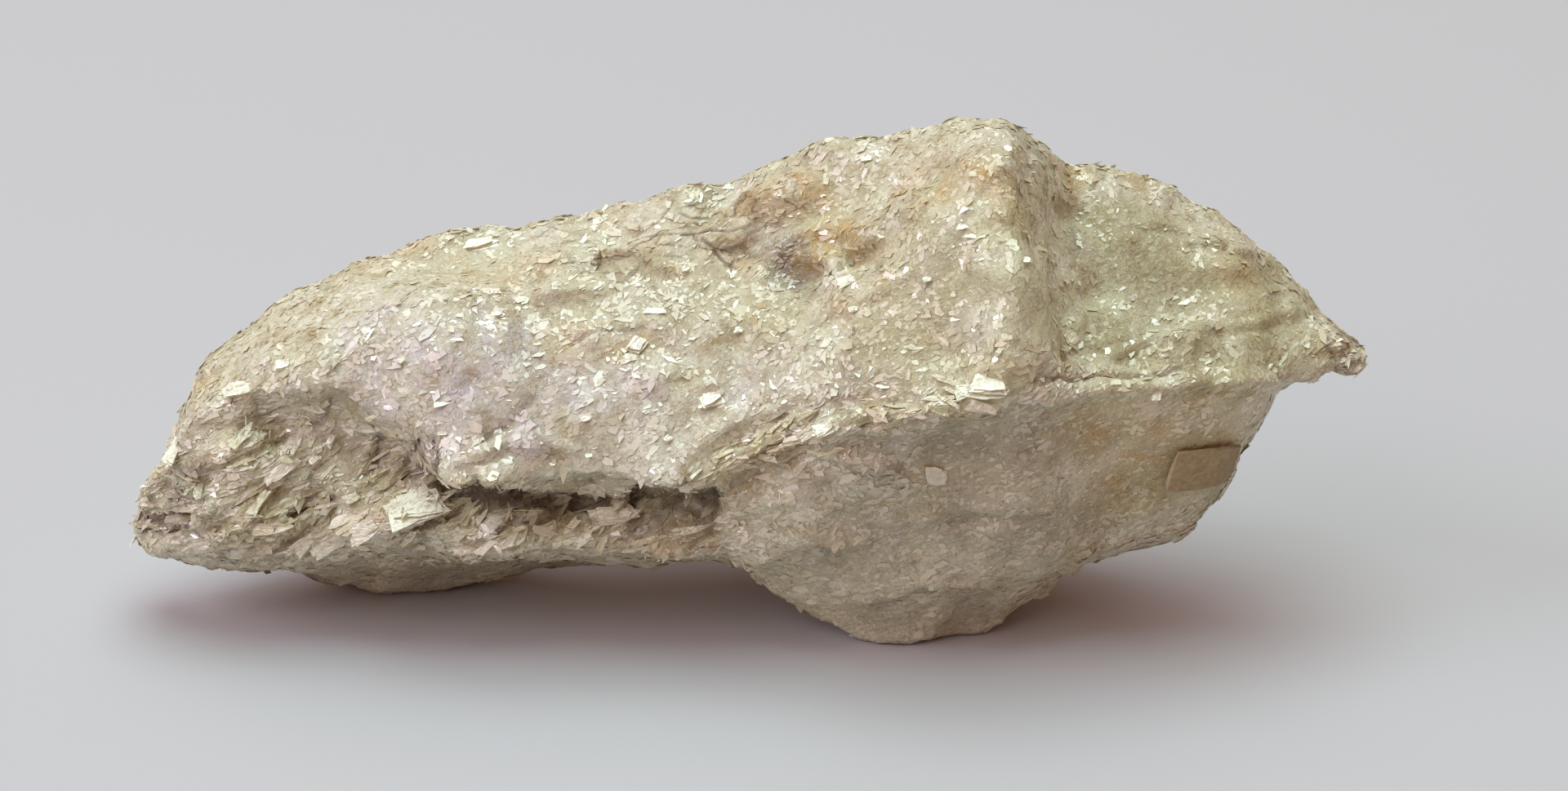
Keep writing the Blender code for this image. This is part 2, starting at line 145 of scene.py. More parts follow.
# Golden brown with iron, beside the cracks and along the crest, and as a painted shadow in the one spot at
# (6, 11) under an overhang.
STAINED_AND_SHADED = spots([
    (-30, 12, 4, 0.5), (-34, 10, 4, 0.3), (-47, 1, 3, 0.6), (-43, 6, 3, 0.4), (-11, 12, 5, 0.4),
    (-6, 11, 4, 0.5), (-2, 16, 4, 0.9), (2, 16, 3, 0.8), (3, 12, 4, 0.9), (16, 18, 3.2, 1),
    (13, 16.5, 3, 0.8), (10, 17, 3, 0.7), (6, 11, 3, 0.8), (-17, 4, 4, 0.6), (-12, 4, 2.5, 0.9),
    (-22, 10, 4, 0.5), (-35, -10, 3, 0.6), (-32, -9, 3, 0.6), (4.5, 7, 2, 0.5), (8, 8.5, 2, 0.5),
    (-7, -11.5, 3, 0.6), (-10, -12.5, 2, 0.8), (37, 10, 4, 0.5), (23, 18, 3, 0.7), (28, 17.5, 3, 0.6),
    (45, 4, 3, 0.7), (30, -4, 4, 0.5), (33, -7, 4, 0.4), (-3, -6, 3, 0.7), (0, -4, 3, 0.6),
    (-38, -1, 3, 0.3), (8, -1.5, 3, 0.5), (-45, -4, 3, 0.4), (-3.5, 12.4, 1.8, 1), (1.3, 17.6, 2.6, 1),
    (-3, 11, 2.5, 0.7), (-9, 10.2, 2.5, 0.6), (-14, 14, 2.5, 0.5), (18, 17, 3, 0.8), (14, 17.5, 3, 0.6),
    (-19, 11.5, 3, 0.5), (-25, 9.5, 3, 0.5), (5, 13.5, 2.5, 0.9), (7.5, 12, 2, 0.7), (-26, 11, 3, 0.4),
    (11, 18.5, 3, 0.5), (29, -5, 5, 0.6), (34, -5, 5, 0.7), (27, -8, 5, 0.5), (36, -8.5, 4, 0.7),
    (25, -2.5, 4, 0.5),
])
# Dark partly with dirt and partly with painted shade: under the ledge, in the crevices and at both ends.
DIRT_AND_SHADE_SPOTS = spots([
    (-26.8, -7.4, 1.4, 1), (-25.2, -7.8, 1.6, 1), (-23.6, -8.3, 1.5, 1), (-22, -8.2, 1.4, 1),
    (-18.4, -9.2, 1.3, 1), (-17, -8.6, 1.2, 0.9), (-14, -8.2, 1, 0.8), (-11.5, -8, 1.2, 0.9),
    (-8.8, -8, 1.4, 1), (-6.8, -8.3, 1.5, 1), (-6.5, -10.5, 1.6, 0.7), (-50, -10, 1.4, 0.9),
    (-48.5, -10.7, 1.2, 1), (-50.8, -8, 1.4, 0.8), (-51.5, -5.5, 1.4, 0.8), (-37.3, -1.5, 1.3, 0.9),
    (-37, -3.8, 1.1, 0.7), (-29, -5, 1.3, 1), (-30.3, -6, 1.2, 0.9), (-28, -4, 1.1, 0.9),
    (-27.9, -6.2, 1.1, 0.9), (0, 10, 2.2, 0.7), (-0.8, 12, 1.6, 0.7), (1, 8.8, 1.6, 0.8),
    (-3.3, 16, 1.6, 0.6), (1, 12.1, 1.6, 0.7), (2.2, 8.4, 1.3, 0.5), (-2, 15.5, 1.4, 0.5),
    (45.8, 4.5, 2.2, 0.8), (44.8, 2.3, 2, 0.7), (46, 6.5, 1.6, 0.6), (-45, -13.5, 2.4, 0.5),
    (-41.5, -14.3, 3.2, 1), (-38, -14.9, 2.5, 0.8), (-38, -7, 1.4, 0.4), (7.5, 10.5, 1.4, 0.5),
    (23.2, 12.6, 1.6, 0.6), (-49.6, -8.4, 1.8, 0.9), (-48.6, -7.4, 2.9, 1), (-11.8, -10.9, 1.8, 0.8),
    (-10.4, -10, 1.8, 0.7), (45.4, 3.4, 2.6, 0.6), (10.2, -13.2, 0.5, 0.8), (11.3, -13.1, 0.45, 0.8),
    (12.3, -13.4, 0.4, 0.7), (-6, 10.2, 1.4, 0.5),
])
# Olive, where the flakes are finest.
OLIVE = spots([
    (-41, -9.5, 4, 0.9), (-44, -10.3, 3, 0.8), (-43, -7.6, 3, 0.6), (32, -5, 6, 0.9), (29, -7.6, 5, 0.9),
    (26, -9, 5, 0.7), (35, -7.6, 4, 0.9), (29, 12, 7, 0.9), (31, 8.5, 7, 1), (39, 9, 6, 0.8),
    (26, 5.5, 5, 0.9), (34, 3, 6, 0.8), (38, 5.5, 5, 0.7), (-7, 7.5, 5, 0.5), (-1, 5.5, 5, 0.6),
    (12, 8, 7, 0.5), (16, -5, 6, 0.5), (8, 3, 5, 0.5), (2, 10, 5, 0.9), (5.5, 13, 4, 0.7), (25, -3, 4, 0.8),
    (10, 15, 5, 0.5), (29, 9, 4, 1), (-41.5, -11.1, 3.4, 1), (-40, -6, 4, 0.5), (-36, -9, 4, 0.5),
])
# Silvery lilac.
LILAC = spots([
    (-33.6, 5.5, 5, 0.8), (-29, 3.6, 5, 0.9), (-22.4, 3.6, 6, 1), (-26.3, 0.3, 6, 1), (-33, 0.3, 5, 0.9),
    (-17, 1, 6, 1), (-21, -2.4, 5, 0.9), (-10.5, -5, 5, 0.7), (-3, 1, 5, 0.5), (17, 1.5, 2.5, 0.5),
    (-12, 0, 5, 0.8), (-27, -3.5, 4, 0.7), (-40, 0, 3, 0.5), (-37, -3, 2.5, 0.6), (13, 3, 4, 0.4),
    (-24, -11, 3, 0.5),
])
# Grey and dull, low on the belly.
GREY = spots([
    (8, -5, 6, 0.8), (14, -4, 6, 0.9), (20, -4, 6, 0.8), (8, -11, 6, 0.8), (14, -10, 6, 0.8),
    (20, -11, 6, 0.8), (3, -13, 5, 0.8), (9, -17, 5, 0.8), (15, -17, 5, 0.9), (25, -10, 5, 0.5),
    (-28, -14.5, 6, 0.9), (-36, -14, 5, 0.7), (-20, -14, 4, 0.8), (4, -8, 4, 0.5), (-43, -3, 2.5, 0.5),
    (1, 9, 4, 0.8), (29, 5, 3, 0.5), (-47, -5.2, 3, 1), (-41, -1.3, 2.6, 0.6), (-49, -2, 2, 0.5),
    (4, 1, 3, 0.4), (-41.5, -13.6, 3, 1), (-45, -13, 3, 0.9), (-37, -14, 3, 0.9),
])
# Creamy yellow, around the ridge and on the right.
CREAM = spots([
    (9, 10, 6, 0.8), (12, 15, 6, 0.8), (4, 15, 5, 0.7), (18, 15, 5, 0.7), (26, 13, 6, 0.7),
    (33, 10, 7, 0.8), (38, 6, 6, 0.8), (28, 5, 6, 0.8), (8, 5, 6, 0.5), (14, 8, 6, 0.9), (35, 1, 6, 0.8),
    (17, 8, 6, 1), (18, 14, 6, 1), (13, 3, 6, 0.9), (17, 2, 5, 0.9), (42, 4, 5, 0.6), (28, -1, 5, 0.6),
    (22, -3, 5, 0.6), (33, -6, 6, 0.8), (28, -8, 5, 0.6), (-1, 7, 5, 0.5), (-36, -8, 4, 0.4),
    (-43, -9, 4, 0.5),
])
# Pale, partly clean and partly painted light: the lip of the ledge and the band under it, the shelf that the
# ledge shades, highlights on the slabs, and single leaves.
PALE_AND_LIT_SPOTS = spots([
    (-24, -10.8, 2.6, 1), (-21, -11, 2.4, 1), (-27.5, -10.9, 2.4, 0.9), (-30, -8.9, 2.6, 0.8),
    (-13.7, -9.6, 2, 1), (-27, -6, 2, 0.9), (-24.5, -6.3, 2, 1), (-22, -6.6, 2.1, 1), (-19.5, -6.6, 2.2, 1),
    (-17, -6.6, 2.2, 1), (-14.5, -6.5, 2.2, 1), (-12, -6.4, 2.2, 1), (-9.5, -6.5, 2, 1), (-7, -6.6, 2, 0.9),
    (-46, -9, 2, 0.8), (-19.5, -7.2, 1.5, 1), (-16, -7.2, 1.5, 1), (-12.5, -7.1, 1.5, 1),
    (-43.5, -7.3, 2, 1), (-41, -5.8, 2, 0.9), (-38.7, -11.9, 1.8, 0.5), (-36, -12, 2.4, 0.9),
    (-33, -11.4, 2.2, 0.9), (-46.5, -12.6, 2, 0.6), (-43, -1, 3, 0.6), (16, 5.5, 5, 0.4),
    (-10.5, -3.7, 4, 0.7), (42, 3.6, 2.5, 0.4), (-14, 12.2, 3, 0.8), (-23.7, 12.1, 3, 0.6),
    (-35.5, -8.9, 2, 0.9), (-7.2, 12.6, 2, 0.6), (13, 2.5, 3, 0.4), (-17, -11.6, 2, 0.8), (-6, -4, 3, 0.5),
    (3, -2.3, 2, 0.8), (14, 15, 5, 0.5), (18, 11, 5, 0.6), (16.5, 6, 4.5, 0.9), (-8, 12, 4, 0.5),
    (-10, 14, 4, 0.6), (-22.4, -11, 2.4, 1), (10, 10, 5, 0.35), (-17, 12.5, 4, 0.5), (-40, -1, 3, 0.8),
    (-37, -1.6, 2.5, 0.7), (-44, -3, 4, 0.6), (-38, -7, 4, 0.5), (-34, -7, 4, 0.4), (-33.6, -11.5, 3, 0.7),
    (1, 2.5, 3, 0.6), (3, 4.5, 3, 0.5), (-1, -1, 4, 0.4), (30, 7, 6, 0.3),
])
# Filled out with matted flakes.
FILLED = spots([
    (-43, -5, 4, 0.8), (-39, -4, 3.5, 0.7), (-41, -9, 3.5, 0.7), (-36, -7, 3, 0.5), (-26, -10.5, 3, 0.8),
    (-22.4, -10.8, 2.8, 1.1), (-16, -10.5, 3, 0.8), (-11, -10.5, 3, 0.7), (1, 11, 3, 0.7),
    (23.5, 12, 3, 0.5), (-40.5, -1.2, 3.5, 1.1), (-37.5, -1.7, 3, 0.9), (-43.5, -1.2, 3, 0.7),
    (-35.3, -2, 2.5, 0.6), (16, 5.5, 3, 0.4),
])
# Split into slabs, with thin cracks between them.
SLABBED = spots([
    (-14, 11.5, 4, 1), (-10.5, 12.5, 4, 1), (-7, 14, 4, 1), (-3, 15, 3.5, 1), (-11, 15, 4, 1),
    (1, 16, 3, 0.9), (-19, 13, 4, 0.6), (-5, 11.5, 3.5, 1),
])
# Rubbed smooth.
WORN = spots([
    (30, 12, 9, 0.8), (36, 8, 8, 0.8), (27, 6, 6, 0.8), (32, 1, 6, 0.9), (24, -1, 5, 0.9), (18, -2, 4, 0.8),
    (16, -6, 9, 0.9), (25, -6, 9, 0.9), (10, -12, 8, 0.7), (24, 13, 4, 0.8), (2, 11, 4, 0.5),
    (-1, 13, 4, 0.5), (6, 12, 3, 0.5), (-12, 12, 5, 0.7), (-5, 14, 5, 0.7), (-18, 12, 4, 0.4),
    (21, 8, 5, 0.8), (37, -2, 5, 0.8), (41, 2, 5, 0.7), (8, 4, 7, 0.5), (-3, 2, 6, 0.4),
    (-36, -14.5, 4, 0.9), (-28, -15, 5, 0.9), (-20, -14.5, 4, 0.8), (8, -18, 5, 0.9), (14, -18, 5, 0.9),
    (20, -14, 5, 0.8), (-10, -13.8, 3, 0.7), (35, 13, 4, 0.7), (-20, 3, 8, 0.3), (-26, 10.5, 7, 0.6),
    (-33, 8, 6, 0.4), (-17, 9, 6, 0.4), (14, 15, 6, 0.5), (18, 10, 6, 0.4), (-9, 11, 5, 0.6),
])

# Single leaves, cracks and folds of the front: the kind, width, height, how dark with dirt and painted shade,
# and (u, v) along it.
# A lip is the edge of leaves that lie on what is below, teeth are a lip whose flakes hang over it, and a fold
# is a lip that the matting covers.
LINES = [
    ("lip", 1.1, 0.55, 0, (-47.1, -10.2), (-43.4, -7.6), (-38.8, -5)),
    ("lip", 0.8, 0.5, 0, (-46, -12), (-43, -10.4), (-41.5, -7.9)),
    ("lip", 0.9, 0.6, 0, (-41.3, -11.8), (-39.2, -10.3), (-36.9, -9.1)),
    ("lip", 0.9, 0.6, 0, (-39.2, -12.7), (-35.9, -11.4), (-32.5, -9.9)),
    ("crack", 0.3, 0.5, 0.7, (-40.1, -9.8), (-38.2, -9.1), (-36.1, -8.3)),
    ("crack", 0.4, 0.9, 1, (-52.3, -9.8), (-50, -9.8), (-48.2, -9.4)),
    ("crack", 0.4, 0.8, 1, (-52.1, -11), (-50.6, -10.9), (-49, -10.7)),
    ("lip", 0.9, 0.7, 0, (-51.3, -7.8), (-49.7, -6.9), (-47.9, -7.5)),
    ("fold", 1.4, 0.2, 0, (-45.1, -2.2), (-42.1, -1), (-39.6, -0.1)),
    ("lip", 0.9, 0.4, 0, (-47.7, -6.6), (-44.1, -4.2), (-40.5, -3.3)),
    ("crack", 0.4, 0.5, 0.9, (-36.7, -0.5), (-37.1, -1.5), (-37.9, -2.6)),
    ("crack", 0.4, 0.6, 0.8, (-33.2, -5.6), (-32.8, -4.3), (-32.3, -3.3)),
    ("crack", 0.35, 0.6, 1, (-30.4, -5.4), (-30, -4.4), (-29.4, -3.7)),
    ("crack", 0.35, 0.6, 1, (-31.4, -6.7), (-30.3, -6.2), (-29.2, -6)),
    ("crack", 0.3, 0.6, 1, (-28.4, -3.6), (-28.1, -5), (-27.8, -6.5)),
    ("lip", 1, 0.6, 0, (-33.2, -11.2), (-30.3, -10.2), (-26.6, -9.1)),
    ("crack", 0.3, 0.6, 0.9, (-32.1, -11.8), (-29.3, -10.9), (-26, -9.6)),
    ("teeth", 1.7, 2, 0.5, (-27.2, -6.9), (-23.8, -7.1), (-20.7, -7.5), (-16.9, -7.5), (-13, -7.3),
        (-9.2, -7.2), (-5.3, -7.3)),
    ("teeth", 1.1, 0.7, 0, (-34.2, -12.6), (-31.6, -13.1), (-28.4, -13.5), (-25.9, -13), (-23.4, -12.2),
        (-18.8, -11.8), (-14.9, -12.3), (-11.1, -12.7), (-7.2, -12.9), (-4.1, -13.1)),
    ("lip", 0.8, 0.6, 0, (-26.3, -12.1), (-23.4, -10.9), (-20.4, -9.8)),
    ("crack", 0.3, 0.4, 0.7, (-23.4, -11.2), (-20.7, -10.1), (-17.8, -10.2)),
    ("lip", 0.8, 0.5, 0, (-9.2, -7.4), (-5.5, -6.4), (-2, -4.3), (1.1, -2.9)),
    ("crack", 0.25, 0.3, 0.35, (-5.3, -7.6), (-2.3, -5.5), (-0.7, -4.2), (1.3, -2.6)),
    ("lip", 0.6, 0.4, 0, (-4.6, -5.1), (-2, -4), (0.7, -2.3)),
    ("crack", 0.3, 0.4, 0.3, (-3.6, -7.1), (-0.7, -5.1), (2, -3.7)),
    ("lip", 0.8, 0.4, 0, (-1, -5.1), (2.6, -3.3), (6.5, -1.8), (9.9, -1.7), (13, -1.3)),
    ("fold", 1, 0.35, 0, (16.1, -1.6), (18.2, -0.3), (22.4, -0.4), (29, 0.4), (34.2, 0.9), (39.5, 0.9)),
    ("groove", 0.7, 0.3, 0.9, (-26.9, -7.8), (-24.6, -8.1), (-22.4, -8.1), (-21.2, -7.9)),
    ("groove", 0.6, 0.3, 0.9, (-19.2, -8.7), (-17.6, -9.2), (-16.6, -8.7)),
    ("crack", 0.25, 0.3, 0.8, (-16.6, -8), (-14, -7.9), (-11, -7.8), (-8.4, -7.8), (-5.4, -7.9)),
    ("groove", 0.8, 0.3, 0.8, (-9.6, -8.6), (-8.2, -9), (-6.8, -9.4)),
    ("crack", 0.12, 0.2, 0.9, (-11.4, 12.9), (-10.1, 13), (-8.8, 13.1), (-7.1, 13.1), (-4.6, 13.5)),
    ("crack", 0.12, 0.2, 0.9, (-4.6, 13.5), (-3.1, 13.6), (-1.8, 14.2)),
    ("crack", 0.1, 0.2, 0.8, (-17.1, 10.8), (-15.2, 11.1), (-13.2, 11.2)),
    ("crack", 0.12, 0.2, 0.8, (-11.9, 10), (-12.6, 9.3), (-13.4, 9.1)),
    ("crack", 0.1, 0.15, 0.8, (-19.6, 12.2), (-17.4, 12.6), (-15.6, 12.6)),
    ("crack", 0.1, 0.15, 0.8, (-8.6, 15), (-7.4, 14.4), (-5.9, 14.3)),
    ("crack", 0.1, 0.15, 0.8, (0.8, 18.2), (0.9, 17.2), (0.7, 16)),
    ("crack", 0.12, 0.2, 0.8, (-10.1, 13), (-10.4, 12.3), (-10.7, 11.6)),
    ("crack", 0.1, 0.15, 0.6, (-12.3, 11.4), (-10.3, 11.4), (-8, 11.5)),
    ("fold", 0.7, 0.35, 0, (-16.7, 10), (-15, 10.7), (-11.4, 11.1)),
    ("crack", 0.1, 0.2, 0.7, (-11.5, 11.1), (-11.7, 10.4), (-12.3, 9.8)),
    ("crack", 0.15, 0.25, 0.9, (-6.7, 12.6), (-5.7, 11.7), (-4.6, 10.8), (-3.6, 9.8)),
    ("crack", 0.15, 0.25, 0.9, (-5.1, 11.6), (-3.6, 12.2), (-2, 12.9), (-0.2, 13.7)),
    ("crack", 0.25, 0.3, 0.7, (-3.3, 13.3), (-2.6, 13.8), (-2, 14.3)),
    ("crack", 0.25, 0.3, 0.6, (-7.5, 15.3), (-6.5, 15.8), (-5.3, 16.4)),
    ("crack", 0.12, 0.2, 0.7, (-8.8, 10.6), (-8.1, 10.8), (-7.3, 11.2)),
    ("fold", 1.2, 0.5, 0, (2, 10.8), (4.1, 10.6), (5.6, 11.4), (7.4, 12.5)),
    ("fold", 0.9, 0.12, 0, (0.7, 3.1), (3.3, 6.5), (7.2, 8.3), (10.2, 9.7)),
    ("ridge", 1.6, 0.3, 0, (20.3, 16.1), (20.6, 12.1), (20.9, 7.5), (21.2, 2.9)),
    ("groove", 1.8, 0.35, 0.2, (23, 14.6), (23.2, 13.1), (23.6, 11.4)),
    ("crack", 0.3, 0.35, 0.5, (20.4, 1.5), (22.7, 1.2), (25, 1.7), (27.8, 1.3), (30.3, 1.7), (32, 2.5)),
    ("fold", 0.9, 0.28, 0, (26.5, 3.2), (29.2, 4.4), (31.6, 4.8)),
    ("fold", 0.8, 0.22, 0, (25.3, 4), (28.3, 4.8), (32.7, 5.4), (38.1, 5.9), (41.7, 7)),
    ("fold", 0.9, 0.28, 0, (29.2, 13.7), (31.5, 13.5), (35.2, 12.2)),
    ("fold", 0.8, 0.22, 0, (32.4, 12.4), (35.5, 11.8), (38.1, 11.4)),
    ("groove", 1.2, 0.3, 0, (34.2, 12.1), (35.9, 11.6)),
    ("crack", 0.35, 0.5, 0.9, (44, 6.9), (45.1, 5.6), (46, 3.9)),
    ("crack", 0.35, 0.5, 0.8, (43.6, 4.8), (44.4, 3.6), (44.8, 2.1)),
    ("crack", 0.15, 0.2, 0.5, (-21.1, 3.9), (-19.7, 2.9), (-17.8, 2.4)),
    ("crack", 0.3, 0.35, 0.5, (-24.2, -3.7), (-21.1, -1.3), (-20.1, 0)),
    ("crack", 0.3, 0.3, 0.4, (-17.1, 4.2), (-14.5, 5.2), (-11.2, 5.6)),
    ("fold", 0.9, 0.4, 0, (-26.3, -5.3), (-22.4, -4), (-17.1, -4.3)),
    ("fold", 0.9, 0.45, 0, (3.9, -5), (7.6, -6), (10.5, -7.6)),
    ("fold", 0.9, 0.45, 0, (-3.9, -13.5), (1.3, -12.1), (6.6, -11.9)),
    ("fold", 0.8, 0.35, 0, (6.6, -16.8), (11.2, -15.2), (16.5, -15.5)),
    ("fold", 0.8, 0.35, 0, (11.2, -10.2), (15.8, -9.1), (21.7, -9.4)),
]


def beds(points, thickness, reach, joint):
    """Thin beds whose edges stand out by different amounts, with an open joint between each two."""
    roll = 1.6 * ripple(points, 6.0, 2.3) + 0.3 * ripple(points, 1.4, 8.8)
    layer, within = np.divmod((points @ FOLIATION + roll) / thickness, 1)
    along = points / 2.4
    along[:, 2] = layer * 3.7 + 0.5
    stand = np.array([noise.noise(p) for p in along.tolist()])
    gap = np.exp(-((np.minimum(within, 1 - within) / 0.2) ** 2))
    return reach * stand * (1 - 0.6 * within) - joint * gap


def chips(points, size, step, tilt):
    """Small facets, each at its own height and tilt, where flakes have split away."""
    heights = np.empty(len(points))
    for k, p in enumerate((points / size).tolist()):
        middle = noise.voronoi(p)[1][0]
        lean = noise.noise_vector(middle * 5.3)
        heights[k] = step * noise.noise(middle * 7.9) + tilt * size * lean.dot(Vector(p) - middle)
    return heights


def strokes():
    """Every line as its straight stretches: (kind, width, height, dirt and painted shade, from, to, the way
    up the stone).
    """
    made = []
    for kind, width, height, dirt_and_shade, *line in LINES:
        places = [met(u, v) for u, v in line]
        for (a, na), (b, nb) in zip(places, places[1:]):
            if a is None or b is None:
                continue
            up = (b - a).cross(na + nb).normalized()
            up *= 1 if up.dot(UPWARD) > 0 else -1
            made.append((kind, width, height, dirt_and_shade, a / MM, b / MM, up))
    return made


def drawn(points, rows):
    """How far these stretches raise each point and push it forward, and how dark they leave it with dirt and
    painted shade.
    """
    wander = np.stack([0.35 * ripple(points, 1.7, 21.3 + k * 4.1) for k in range(3)], 1)
    moved = points + wander
    rise, pushed, soiled_and_shaded = (np.zeros(len(points)) for _ in range(3))
    for kind, width, height, dirt_and_shade, a, b, up in rows:
        a, along, up = np.array(a), np.array(b - a), np.array(up)
        reach = np.linalg.norm(along)
        close = np.nonzero(np.linalg.norm(moved - (a + along / 2), axis=1) < reach / 2 + 3 * width + 1)[0]
        away = moved[close] - a
        share = away @ along / reach**2
        beyond = np.maximum(np.maximum(-share, share - 1), 0) * reach
        side = away @ up
        deep = away - np.outer(share, along) - np.outer(side, up)
        fade = np.exp(-((beyond / (0.6 * width)) ** 2) - (np.linalg.norm(deep, axis=1) / 2.5) ** 2)
        if kind in ("lip", "teeth", "fold"):
            above = np.exp(-((side / width) ** 2))
            below = np.exp(-((side / 0.3) ** 2)) - 0.6 * np.exp(-(((side + 0.75) / 0.45) ** 2))
            shape = np.where(side > 0, above, below)
            # Below a lip this dark band is painted shade, where the lip overhangs.
            stain_and_shade = dirt_and_shade * np.exp(-(((side + 0.6) / 0.4) ** 2))
        else:
            shape = np.exp(-((side / width) ** 2)) * (1 if kind == "ridge" else -1)
            # Along a crack this is a dark joint; in the grooves under the ledge it is painted shade.
            stain_and_shade = dirt_and_shade * np.exp(-((side / (0.7 * width + 0.04)) ** 2))
        gain = height * shape * fade
        if kind == "teeth":
            pushed[close] = np.maximum(pushed[close], gain)
            gain = np.minimum(gain, 0)
        old = rise[close]
        rise[close] = np.where(np.abs(gain) > np.abs(old), gain, old)
        soiled_and_shaded[close] = np.maximum(soiled_and_shaded[close], stain_and_shade * fade)
    return rise, pushed, soiled_and_shaded


COARSE_BEDS, FINE_BEDS = (1.4, 0.95, 0.35), (0.6, 0.35, 0.15)  # mm thick, reach of the edges, joints' depth
LARGE_CHIPS, SMALL_CHIPS = (2.2, 0.13, 0.18), (1.0, 0.07, 0.15)  # mm across, their steps in mm, their lean
DEEPEST, HIGHEST, BULGING = -1.6, 0.6, 1.1  # mm from the solid's surface
worn = spread(read(stone.data.vertices, "co", 3).astype(float) / MM, WORN, 0.6)
group = stone.vertex_groups.new(name="rubbed")
for k, weight in enumerate(worn.tolist()):
    group.add([k], weight, "REPLACE")
rub = stone.modifiers.new("Rub", "SMOOTH")
rub.vertex_group = "rubbed"
rub.factor = 0.5
rub.iterations = 16
settle(stone)
stone.vertex_groups.clear()
for zone, least in ((BROKEN_EDGES + SLABBED, 0.5), (SLABBED, 0.6)):
    bm = bmesh.new()
    bm.from_mesh(stone.data)
    inside = spread(np.array([v.co for v in bm.verts]) / MM, zone, 0.3) > least
    fine = [e for e in bm.edges if inside[e.verts[0].index] and inside[e.verts[1].index]]
    bmesh.ops.subdivide_edges(bm, edges=fine, cuts=1, use_grid_fill=True)
    bm.to_mesh(stone.data)
    bm.free()
points = read(stone.data.vertices, "co", 3).astype(float) / MM
normals = read(stone.data.vertices, "normal", 3).astype(float)
edged = spread(points, BROKEN_EDGES, 0.6)
slab = spread(points, SLABBED, 0.8)
worn = spread(points, WORN, 0.6)
rough = (1 - 0.75 * np.maximum(slab, 0.7 * worn)) * (0.6 + 0.4 * edged)
height = edged * (1 - 0.8 * worn) * (beds(points, *COARSE_BEDS) + beds(points, *FINE_BEDS)) - SUNK
height += rough * (chips(points, *LARGE_CHIPS) + chips(points, *SMALL_CHIPS))
height += rough * (0.12 * ripple(points, 1.2, 1.7) + 0.05 * ripple(points, 0.55, 4.4))
height += 0.05 * slab * ripple(points * np.array((0.3, 1, 1)), 0.8, 6.6)
rise, pushed, soiled_and_shaded = drawn(points, strokes())
height = height * (1 - 0.6 * np.clip((np.abs(rise) + pushed) / 0.3, 0, 1)) + rise
height = np.clip(height, DEEPEST, HIGHEST + 0.3 * (points[:, 1] < -6)) + BULGING * spread(points, FILLED, 0.6)
points = points + normals * height[:, None] + pushed[:, None] * np.array((0, -1, 0.25))
points[:, 2] = np.maximum(points[:, 2], 0.0)
stone.data.vertices.foreach_set("co", (points * MM).astype(np.float32).ravel())
stone.data.shade_smooth()
stone.data.update()
CRUST = {
    "stain_and_shade": spread(points, STAINED_AND_SHADED),
    # Darker with dirt, and with painted shade under the ledge and in the hollows.
    "dirt_and_shade": np.maximum(spread(points, DIRT_AND_SHADE_SPOTS, 0.9), soiled_and_shaded),
    "olive": spread(points, OLIVE, 2.0),
    "lilac": spread(points, LILAC, 2.0),
    "grey": spread(points, GREY, 1.6),
    "cream": spread(points, CREAM, 2.0),
    # Paler where leaves are clean, and painted light on the shaded ledge band and shelf and on the slabs.
    "pale": spread(points, PALE_AND_LIT_SPOTS, 0.8),
    "slab": slab,
    "edge": edged,
    "worn": worn,
}


def mark(mesh, name, values):
    """Keeps a value for every point of a mesh, for its material to read."""
    mesh.attributes.new(name, "FLOAT", "POINT").data.foreach_set("value", np.asarray(values, np.float32))


for name, values in CRUST.items():
    mark(stone.data, name, values)


def linear(colour):
    """A hex sRGB colour as linear RGBA."""
    parts = [int(colour[k:k + 2], 16) / 255 for k in (1, 3, 5)]
    return (*[c / 12.92 if c <= 0.04045 else ((c + 0.055) / 1.055) ** 2.4 for c in parts], 1)


def node(tree, kind, settings=None, links=None, **properties):
    """Adds a node with its properties, its input values and its input links."""
    made = tree.nodes.new("ShaderNode" + kind)
    for name, value in properties.items():
        setattr(made, name, value)
    for name, value in (settings or {}).items():
        made.inputs[name].default_value = value
    for name, socket in (links or {}).items():
        tree.links.new(socket, made.inputs[name])
    return made


def painted(name):
    """A new material: itself, its nodes, its shader and the place on the piece in mm."""
    material = bpy.data.materials.new(name)
    material.use_nodes = True
    tree = material.node_tree
    place = node(tree, "TexCoord").outputs["Object"]
    mm = node(tree, "VectorMath", {"Scale": 1 / MM}, {0: place}, operation="SCALE").outputs[0]
    return material, tree, tree.nodes["Principled BSDF"], mm


def cloudy(place, size, detail, roughness=0.5, distortion=0.0, output="Fac"):
    """A noise pattern of that size in mm."""
    settings = {"Scale": 1 / size, "Detail": detail, "Roughness": roughness, "Distortion": distortion}
    return node(place.id_data, "TexNoise", settings, {"Vector": place}).outputs[output]


def ramped(value, stops):
    """The colour of each value, from its stops: the first, the last and any between."""
    ramp = node(value.id_data, "ValToRGB", None, {"Fac": value})
    for k, (position, tone) in enumerate(stops):
        stop = ramp.color_ramp.elements[k] if k < 2 else ramp.color_ramp.elements.new(position)
        stop.position, stop.color = position, linear(tone)
    return ramp.outputs["Color"]


def ranged(value, low, high, start=0.0, end=1.0):
    settings = {"From Min": low, "From Max": high, "To Min": start, "To Max": end}
    return node(value.id_data, "MapRange", settings, {"Value": value}).outputs[0]


def masked(colour, tone, factor, most=1.0):
    """The colour, with the tone over it where the factor is high."""
    tree = colour.id_data
    amount = node(tree, "Math", {1: most}, {0: factor}, operation="MULTIPLY").outputs[0]
    mixed = node(tree, "Mix", {"B": linear(tone)}, {"Factor": amount, "A": colour}, data_type="RGBA")
    return mixed.outputs["Result"]


